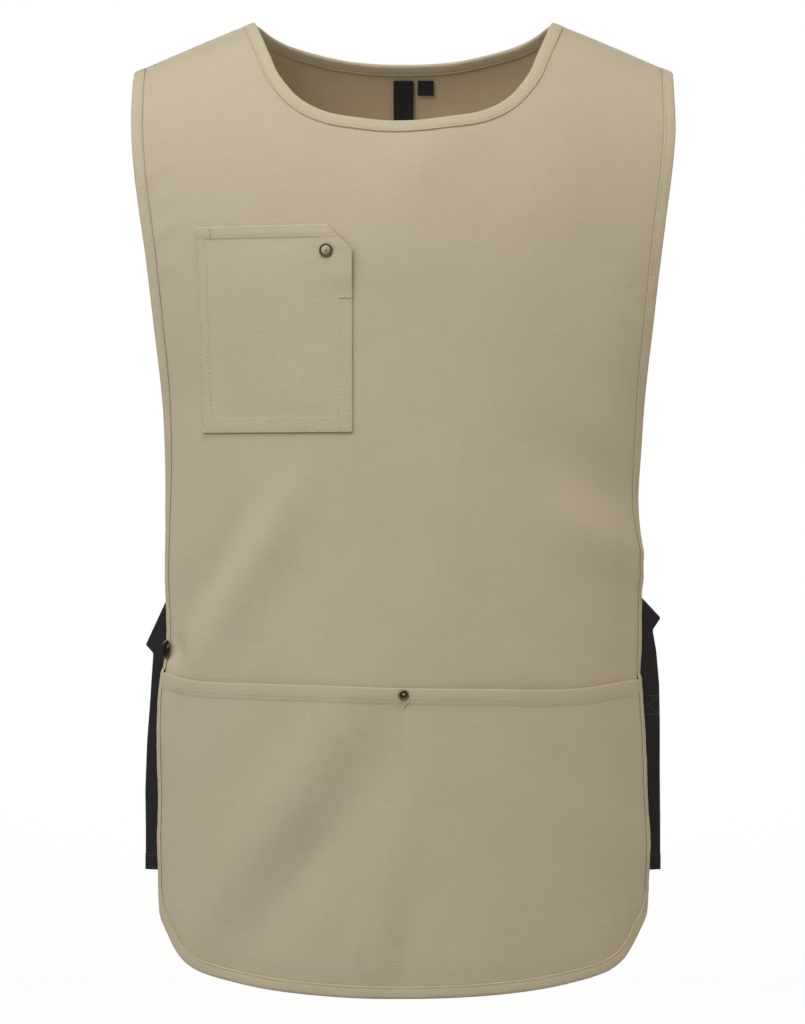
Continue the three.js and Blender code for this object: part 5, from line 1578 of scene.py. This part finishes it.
def in_range(tree, mask, low, high):
    node = tree.nodes.new("ShaderNodeMapRange")
    tree.links.new(mask, node.inputs["Value"])
    node.inputs["To Min"].default_value = low
    node.inputs["To Max"].default_value = high
    return node.outputs["Result"]


def summed(tree, first, share, second, other_share):
    """Two masks added by their shares."""
    return maths(
        tree, "ADD", maths(tree, "MULTIPLY", first, share), maths(tree, "MULTIPLY", second, other_share)
    )


def cloth_places(tree):
    uv = tree.nodes.new("ShaderNodeUVMap")
    uv.uv_map = "cloth"
    return uv.outputs["UV"]


def patches_of(tree, size):
    """Uneven dye laid over a piece by its own coordinates."""
    where = tree.nodes.new("ShaderNodeTexCoord")
    return placed(tree, DYE, where.outputs["Object"], Patch_Size=size)


def patchy(name, roughness, size, dark, light, **how):
    """A material of two tones in small patches, and their mask."""
    material, tree, shader = new_material(name, roughness, **how)
    mask = patches_of(tree, size)
    tree.links.new(two_tone(tree, mask, dark, light), shader.inputs["Base Color"])
    return material, tree, shader, mask


def relief(tree, shader, height, distance, strength=1.0):
    bump = tree.nodes.new("ShaderNodeBump")
    bump.inputs["Distance"].default_value = distance
    bump.inputs["Strength"].default_value = strength
    tree.links.new(height, bump.inputs["Height"])
    tree.links.new(bump.outputs["Normal"], shader.inputs["Normal"])


# %% Canvas and thread
KHAKI_DARK = (0.456, 0.383, 0.262)
KHAKI_LIGHT = (0.552, 0.476, 0.348)
# tint multiplied into the colour of the cloth's inner faces: painted light, a warmer tone that stands for how
# the inside of the garment is lit
INNER_FACE_PAINTED_LIGHT = (1.1, 1.03, 0.92)


def canvas_finish(name, spacing, dark, light, seed):
    material, tree, shader = new_material(name, 0.88, sheen=0.12, sheen_roughness=0.45, specular=0.25)
    cloth = cloth_places(tree)
    weave = placed(tree, WEAVE, cloth, Thread_Spacing=spacing)
    level = placed(tree, STREAKS, cloth, Streak_Length=0.022, Streak_Height=0.0009, Seed=seed)
    upright = placed(tree, STREAKS, cloth, Streak_Length=0.0008, Streak_Height=0.03, Seed=seed + 5)
    patches = placed(tree, DYE, cloth, Patch_Size=0.06)
    yarn = summed(tree, level, 0.6, upright, 0.4)
    mask = summed(tree, yarn, 0.55, patches, 0.45)
    # painted light: the inner faces, marked by a value on the mesh, take the tint
    inner = tree.nodes.new("ShaderNodeAttribute")
    inner.attribute_name = "wrong_side"
    shade = tree.nodes.new("ShaderNodeMix")
    shade.data_type = "RGBA"
    shade.blend_type = "MULTIPLY"
    tree.links.new(inner.outputs["Fac"], shade.inputs["Factor"])
    tree.links.new(two_tone(tree, mask, dark, light), shade.inputs["A"])
    shade.inputs["B"].default_value = (*INNER_FACE_PAINTED_LIGHT, 1)
    tree.links.new(shade.outputs["Result"], shader.inputs["Base Color"])
    tree.links.new(in_range(tree, yarn, 0.93, 0.82), shader.inputs["Roughness"])
    high = maths(tree, "ADD", maths(tree, "MULTIPLY", weave, 0.5), yarn)
    relief(tree, shader, high, 0.00016, 0.7)
    return material


canvas = canvas_finish("khaki canvas", 0.00055, KHAKI_DARK, KHAKI_LIGHT, 1.0)
tape_canvas = canvas_finish("khaki binding tape", 0.0005, (0.47, 0.393, 0.266), (0.56, 0.479, 0.34), 9.0)

thread, tree, shader, mask = patchy(
    "khaki thread", 0.7, 0.002, (0.5, 0.43, 0.31), (0.68, 0.6, 0.46), sheen=0.2, sheen_roughness=0.4,
    specular=0.3,
)
relief(tree, shader, mask, 0.0001)

# %% Webbing, labels and plastic
# painted highlight along both edges of the webbing: how far from the middle it starts, and the width over
# which it grows
EDGE_HIGHLIGHT_FROM, EDGE_HIGHLIGHT_WIDE = 0.0106, 0.0016


def webbing_finish(name, dark, light, rib):
    material, tree, shader = new_material(name, 0.62, sheen=0.06, sheen_roughness=0.4, specular=0.3)
    cloth = cloth_places(tree)
    weave = placed(tree, WEAVE, cloth, Thread_Spacing=rib)
    streak = placed(tree, STREAKS, cloth, Streak_Length=0.0011, Streak_Height=0.02, Seed=3.0)
    mask = summed(tree, weave, 0.6, streak, 0.4)
    parts = tree.nodes.new("ShaderNodeSeparateXYZ")
    tree.links.new(cloth, parts.inputs[0])
    # painted highlight: the colour grows lighter towards both edges
    from_middle = maths(tree, "ABSOLUTE", parts.outputs["X"])
    past = maths(tree, "SUBTRACT", from_middle, EDGE_HIGHLIGHT_FROM)
    edge_highlight = maths(tree, "DIVIDE", past, EDGE_HIGHLIGHT_WIDE, clamp=True)
    tone = maths(tree, "ADD", mask, edge_highlight)
    tree.links.new(two_tone(tree, tone, dark, light), shader.inputs["Base Color"])
    tree.links.new(in_range(tree, mask, 0.75, 0.5), shader.inputs["Roughness"])
    relief(tree, shader, mask, 0.0003)
    return material


webbing = webbing_finish("black webbing", (0.0035, 0.0035, 0.0032), (0.013, 0.0125, 0.012), 0.0011)
label_weave = webbing_finish("black label weave", (0.008, 0.008, 0.008), (0.02, 0.02, 0.02), 0.0004)

plastic, tree, shader, grain = patchy(
    "black moulded plastic", 0.42, 0.0008, (0.006, 0.006, 0.006), (0.016, 0.016, 0.015), specular=0.5
)
tree.links.new(in_range(tree, grain, 0.36, 0.5), shader.inputs["Roughness"])
relief(tree, shader, grain, 0.00004)

black_thread = patchy(
    "black thread", 0.6, 0.002, (0.03, 0.03, 0.03), (0.1, 0.098, 0.094), sheen=0.2, specular=0.4
)[0]

# %% Antique brass


def antique_finish(name, dark, light, rough):
    material, tree, shader = new_material(name, 0.4, metallic=1.0)
    tarnish = patches_of(tree, 0.0014)
    rub = tree.nodes.new("ShaderNodeAttribute")
    rub.attribute_name = "rubbed"
    worn = maths(tree, "MULTIPLY", rub.outputs["Fac"], in_range(tree, tarnish, 0.45, 1.25), clamp=True)
    tree.links.new(two_tone(tree, worn, dark, light), shader.inputs["Base Color"])
    tree.links.new(in_range(tree, worn, *rough), shader.inputs["Roughness"])
    relief(tree, shader, tarnish, 0.00006)
    return material


antique = antique_finish("antique brass", (0.022, 0.016, 0.01), (0.3, 0.22, 0.12), (0.6, 0.36))
pale_antique = antique_finish(
    "antique brass with a worn face", (0.045, 0.034, 0.021), (0.42, 0.35, 0.25), (0.55, 0.6)
)
dark_antique = antique_finish("dark antique brass", (0.01, 0.009, 0.007), (0.06, 0.048, 0.034), (0.34, 0.16))
print("finishes:", canvas.name, tape_canvas.name, webbing.name, plastic.name, antique.name)

# %% [markdown]
# ## Sewing the apron
#
# The tape is sewn 8 mm in from its fold, on both faces. The pouch has one row under its mouth and a
# pair down its middle. The pocket is sewn along its edge and again at its turned edge. Bar tacks,
# which are short tight zigzags, hold the ends that are pulled.

# %% Rows on the tapes
SIZES = {"step": 0.003, "stitch_length": 0.00245, "thread_width": 0.00062, "thread_height": 0.0005}
TAPE_TOP = BINDING_PLY * 0.68 + 0.12
PLAIN_HEIGHT = PLY_AT + TAPE_TOP
EDGE_MARGIN, NECK_MARGIN = 6, 0.5


def tape_height(line, s):
    return over_pouch(line, s) - BINDING_PLY + TAPE_TOP


def both_faces(line, margin, height):
    return [tape_row(line, margin, height, 1), tape_row(line, margin, PLAIN_HEIGHT, -1)]


front_rows = both_faces(front_outline, EDGE_MARGIN, tape_height)
back_rows = both_faces(back_outline, EDGE_MARGIN, PLAIN_HEIGHT)
neck_rows = [row for line in (front_neck, back_neck) for row in both_faces(line, NECK_MARGIN, PLAIN_HEIGHT)]
front_tape_stitches = sewn("front_tape_stitches", front_rows, thread, **SIZES)
back_tape_stitches = sewn("back_tape_stitches", back_rows, thread, **SIZES)
neck_tape_stitches = sewn("neck_tape_stitches", neck_rows, thread, **SIZES)

# %% Rows on the pouch
# how far a row's middle stands off the cloth
PROUD = 0.16


def on_pouch(x, z):
    inside = inside_share(front.base(*front.place(x, z)))
    middle, thick = pouch_layers(x, np.maximum(-z - mouth_drop(x), 0), inside)
    return front.spot(x, z, middle + thick / 2 + PROUD)


mouth_x = np.linspace(-182, 182, 120)
seam_z = np.linspace(-POUCH_TOP - HEM_SEAM - 2, -LENGTH + 11.5, 70)
pouch_rows = [on_pouch(mouth_x, -mouth_drop(mouth_x) - HEM_SEAM)]
pouch_rows += [on_pouch(np.full_like(seam_z, x), seam_z) for x in SEAM_X]
pouch_stitches = sewn("pouch_stitches", pouch_rows, thread, **SIZES)

# %% Rows on the pocket


def on_pocket(x, d):
    middle, thick, _ = pocket_layers(x, d)
    return front.spot(x, -POCKET_TOP - d, middle + thick / 2 + PROUD)


def pocket_rows():
    outer, inner = POCKET_SEAMS
    low = POCKET_TALL - outer
    rows = []

    def level(from_top):
        """A row across the pocket, between its outer seams."""
        d = np.full(50, from_top)
        left, right = pocket_sides(d)
        rows.append(on_pocket(np.linspace(left[0] + outer, right[0] - outer, 50), d))

    for inset, start in ((outer, outer), (inner, POCKET_HEM)):
        d = np.linspace(start, low, 60)
        rows.append(on_pocket(pocket_sides(d)[0] + inset * LEFT_TURN, d))
        d = np.linspace(POCKET_OPEN, low, 40)
        rows.append(on_pocket(pocket_sides(d)[1] - inset, d))
        level(POCKET_TALL - inset)
    level(POCKET_HEM - 0.4)
    d = np.linspace(outer, POCKET_CUT, 16)
    rows.append(on_pocket(pocket_sides(d)[1] - outer * 1.6, d))
    return rows


pocket_stitches = sewn("pocket_stitches", pocket_rows(), thread, **SIZES)

# %% Bar tacks


def tack_on(surface, x, z, lean, long):
    """A short line of places for a bar tack, laid on the cloth by the given surface."""
    k = np.linspace(-0.5, 0.5, 6) * long
    a = math.radians(lean)
    points, facing = surface(x + k * math.cos(a), z + k * math.sin(a))
    return points + facing * 0.15, facing


# surface, place across, place down, lean in degrees, length
tacks = [
    tack_on(on_pocket, -POCKET_LEFT + 11, 5, 90, 6),
    tack_on(on_pocket, -POCKET_LEFT + POCKET_WIDE - 5.5, POCKET_OPEN, 0, 9),
    tack_on(on_pouch, 1.4, -POUCH_TOP - 12.8, 48, 5.5),
]
TACK_SIZES = {
    "step": 0.00045, "stitch_length": 0.0019, "thread_width": 0.0005, "thread_height": 0.0006,
    "turn": math.pi / 2, "wander": 0.15,
}
bar_tacks = sewn("bar_tacks", tacks, thread, **TACK_SIZES)

# %% Rows beside the shoulder seams
SEAM_ROW_AT, SEAM_ROW_HIGH, SEAM_ROW_IN = 3.3, 1.72, 11
shoulder_rows = []
for face in (front, back):
    for hand in (-1, 1):
        t = shoulder_span(face, hand, SEAM_ROW_IN)
        way = np.full_like(t, SEAM_ROW_AT)
        shoulder_rows.append((face.at(t, way, SEAM_ROW_HIGH), face.facing(t, way)))
shoulder_stitches = sewn("shoulder_stitches", shoulder_rows, thread, **SIZES)

# %% Rows on the webbing


def on_strap(stations, spots):
    """Points on the outer face of a strap's hanging part: shares of its width and lengths from its end."""
    at, a, b, n, half = ribbon_rows(stations)
    points, facing = [], []
    for wide, from_end in spots:
        s = at[-1] - from_end
        row = [np.stack([np.interp(s, at, rows[:, c]) for c in range(3)], -1) for rows in (a, b, n)]
        thick = np.interp(s, at, half)
        points.append((row[0] + row[1]) / 2 + (row[0] - row[1]) / 2 * wide + row[2] * (thick + 0.05))
        facing.append(row[2])
    return np.array(points), np.array(facing)


def hem_rows(stations):
    return [on_strap(stations, [(w, d) for w in np.linspace(-0.88, 0.88, 8)]) for d in (2.0, TAIL_HEM - 2.2)]


def cross_rows(stations, low, high):
    """A stitched box with a cross in it, between two lengths from the strap's end."""
    box = [(-0.85, low), (0.85, low), (0.85, high), (-0.85, high), (-0.85, low), (0.85, high)]
    other = [(0.85, low), (-0.85, high)]

    def dense(corners):
        spots = []
        for p, q in zip(corners[:-1], corners[1:]):
            spots += [(p[0] + (q[0] - p[0]) * k, p[1] + (q[1] - p[1]) * k) for k in np.linspace(0, 1, 7)[:-1]]
        return spots + [corners[-1]]

    return [on_strap(stations, dense(box)), on_strap(stations, dense(other))]


CROSS_FROM, CROSS_TO = 138, 123
WEBBING_SIZES = {"step": 0.0026, "stitch_length": 0.0021, "thread_width": 0.0006, "thread_height": 0.0005}
strap_stitches = sewn(
    "strap_stitches",
    hem_rows(left_stations) + hem_rows(right_stations) + cross_rows(right_stations, CROSS_FROM, CROSS_TO),
    black_thread, **WEBBING_SIZES,
)

# %% [markdown]
# ## Dressing the frame
#
# Each piece gets its finish, rides on the one body of the frame and takes the place of the CAD node
# that it stands for.

# %% Finishes, bodies and nodes
# finish, slot, and pieces with the node that each stands for
DRESS = [
    (canvas, "canvas", [
        (front_cloth, "front_panel"), (back_cloth, "back_panel"), (pouch, "front_pouch"),
        (pocket, "chest_pocket"), (left_seam, None), (right_seam, None),
    ]),
    (tape_canvas, "binding", [
        (front_tape, "front_edge_binding"), (back_tape, "back_edge_binding"), (neck_tape, "neck_binding"),
    ]),
    (webbing, "webbing", [
        (left_strap, "left_side_strap"), (right_strap, "right_side_strap"),
        (left_loop, "left_strap_anchor"), (right_loop, "right_strap_anchor"),
    ]),
    (plastic, "buckle_plastic", [(left_slide, "left_slide_buckle"), (right_slide, "right_slide_buckle")]),
    (antique, "antique_brass", [(pouch_rivet, "pouch_rivet")]),
    (pale_antique, "antique_brass", [(pocket_rivet, "pocket_rivet")]),
    (dark_antique, "antique_brass", [(snap, "side_snap")]),
    (label_weave, "label", [(neck_label, "neck_label"), (size_label, "size_label")]),
]
SEWN_IN = {
    "binding": [front_tape_stitches, back_tape_stitches, neck_tape_stitches],
    "canvas": [pouch_stitches, pocket_stitches, bar_tacks, shoulder_stitches],
    "webbing": [strap_stitches],
}


def dressed(piece):
    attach(piece, "root")


for finish, slot, pieces in DRESS:
    for piece, node in pieces:
        piece.data.materials.clear()
        piece.data.materials.append(finish)
        dressed(piece)
        if node:
            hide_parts(node)
for slot, pieces in SEWN_IN.items():
    for piece in pieces:
        dressed(piece)
print("finishes:", len(DRESS), "and rows of stitches in", sum(len(p) for p in SEWN_IN.values()), "pieces")

# %% [markdown]
# ## Studio
#
# A white sweep of paper stands far enough back to stay even. One soft lamp up on the left models
# the folds, one overhead makes the shoulders lighter than the hem, and one on each side lights the
# flanks. Two more stand behind for the back, and a weak white surround fills the shadows.

# %% Floor and backdrop
FLOOR_AT, SWEEP_AT, SWEEP_ROUND, SWEEP_HALF, SWEEP_TOP = -1.45, 7.0, 1.5, 9.0, 7.0
PAPER_GLOW = 0.85


def studio_sweep():
    start, centre = SWEEP_AT - SWEEP_ROUND, FLOOR_AT + SWEEP_ROUND
    corner = [
        (start + SWEEP_ROUND * math.sin(a), centre - SWEEP_ROUND * math.cos(a))
        for a in np.linspace(0, math.pi / 2, 13)
    ]
    line = [(-SWEEP_HALF, FLOOR_AT), *corner, (SWEEP_AT, SWEEP_TOP)]
    points = [(x, y, z) for x in (-SWEEP_HALF, SWEEP_HALF) for y, z in line]
    n = len(line)
    mesh = bpy.data.meshes.new("studio_sweep")
    mesh.from_pydata(points, [], [(i, i + 1, n + i + 1, n + i) for i in range(n - 1)])
    mesh.shade_smooth()
    return linked("studio_sweep", mesh)


sweep = studio_sweep()
paper, tree, shader, _ = patchy(
    "studio paper", 0.95, 0.4, (0.55, 0.55, 0.55), (0.57, 0.57, 0.57), specular=0.1
)
seen = tree.nodes.new("ShaderNodeLightPath")
glow = maths(tree, "MULTIPLY", seen.outputs["Is Camera Ray"], PAPER_GLOW)
tree.links.new(glow, shader.inputs["Emission Strength"])
shader.inputs["Emission Color"].default_value = (1, 1, 1, 1)
sweep.data.materials.append(paper)

# %% Light
SURROUND = 0.22
LAMP_SIZE = 1.2
CHEST = np.array([0.0, 0.0, -0.35])
world = bpy.data.worlds.new("white surround")
bpy.context.scene.world = world
world.use_nodes = True
tree = world.node_tree
background = tree.nodes["Background"]
seen = tree.nodes.new("ShaderNodeLightPath")
shown = two_tone(tree, seen.outputs["Is Camera Ray"], (1.0, 0.95, 0.88), (1, 1, 1))
tree.links.new(shown, background.inputs["Color"])
strength = maths(tree, "ADD", maths(tree, "MULTIPLY", seen.outputs["Is Camera Ray"], 1 - SURROUND), SURROUND)
tree.links.new(strength, background.inputs["Strength"])


def lamp(name, at, power, tint=(1.0, 1.0, 1.0)):
    """A soft square lamp that looks at the chest. It isn't seen itself."""
    data = bpy.data.lights.new(name, "AREA")
    data.size, data.energy, data.color = LAMP_SIZE, power, tint
    obj = linked(name, data)
    obj.location = at
    way = CHEST - np.array(at)
    obj.rotation_euler = (math.acos(-way[2] / np.linalg.norm(way)), 0, math.atan2(-way[0], way[1]))
    obj.visible_camera = False


lamp("key_lamp", (-1.25, -2.1, 1.15), 29, (0.97, 1.0, 1.04))
lamp("top_lamp", (0.0, -1.2, 1.9), 25)
lamp("left_lamp", (-2.2, -0.9, 0.6), 14.5)
lamp("right_lamp", (2.2, -0.9, 0.2), 16, (1.0, 0.94, 0.84))
lamp("back_left_lamp", (-1.1, 2.7, 0.5), 38)
lamp("back_right_lamp", (1.1, 2.7, 0.5), 24)
bpy.context.scene.view_settings.view_transform = "Standard"

# %% Finish
bpy.context.view_layer.update()
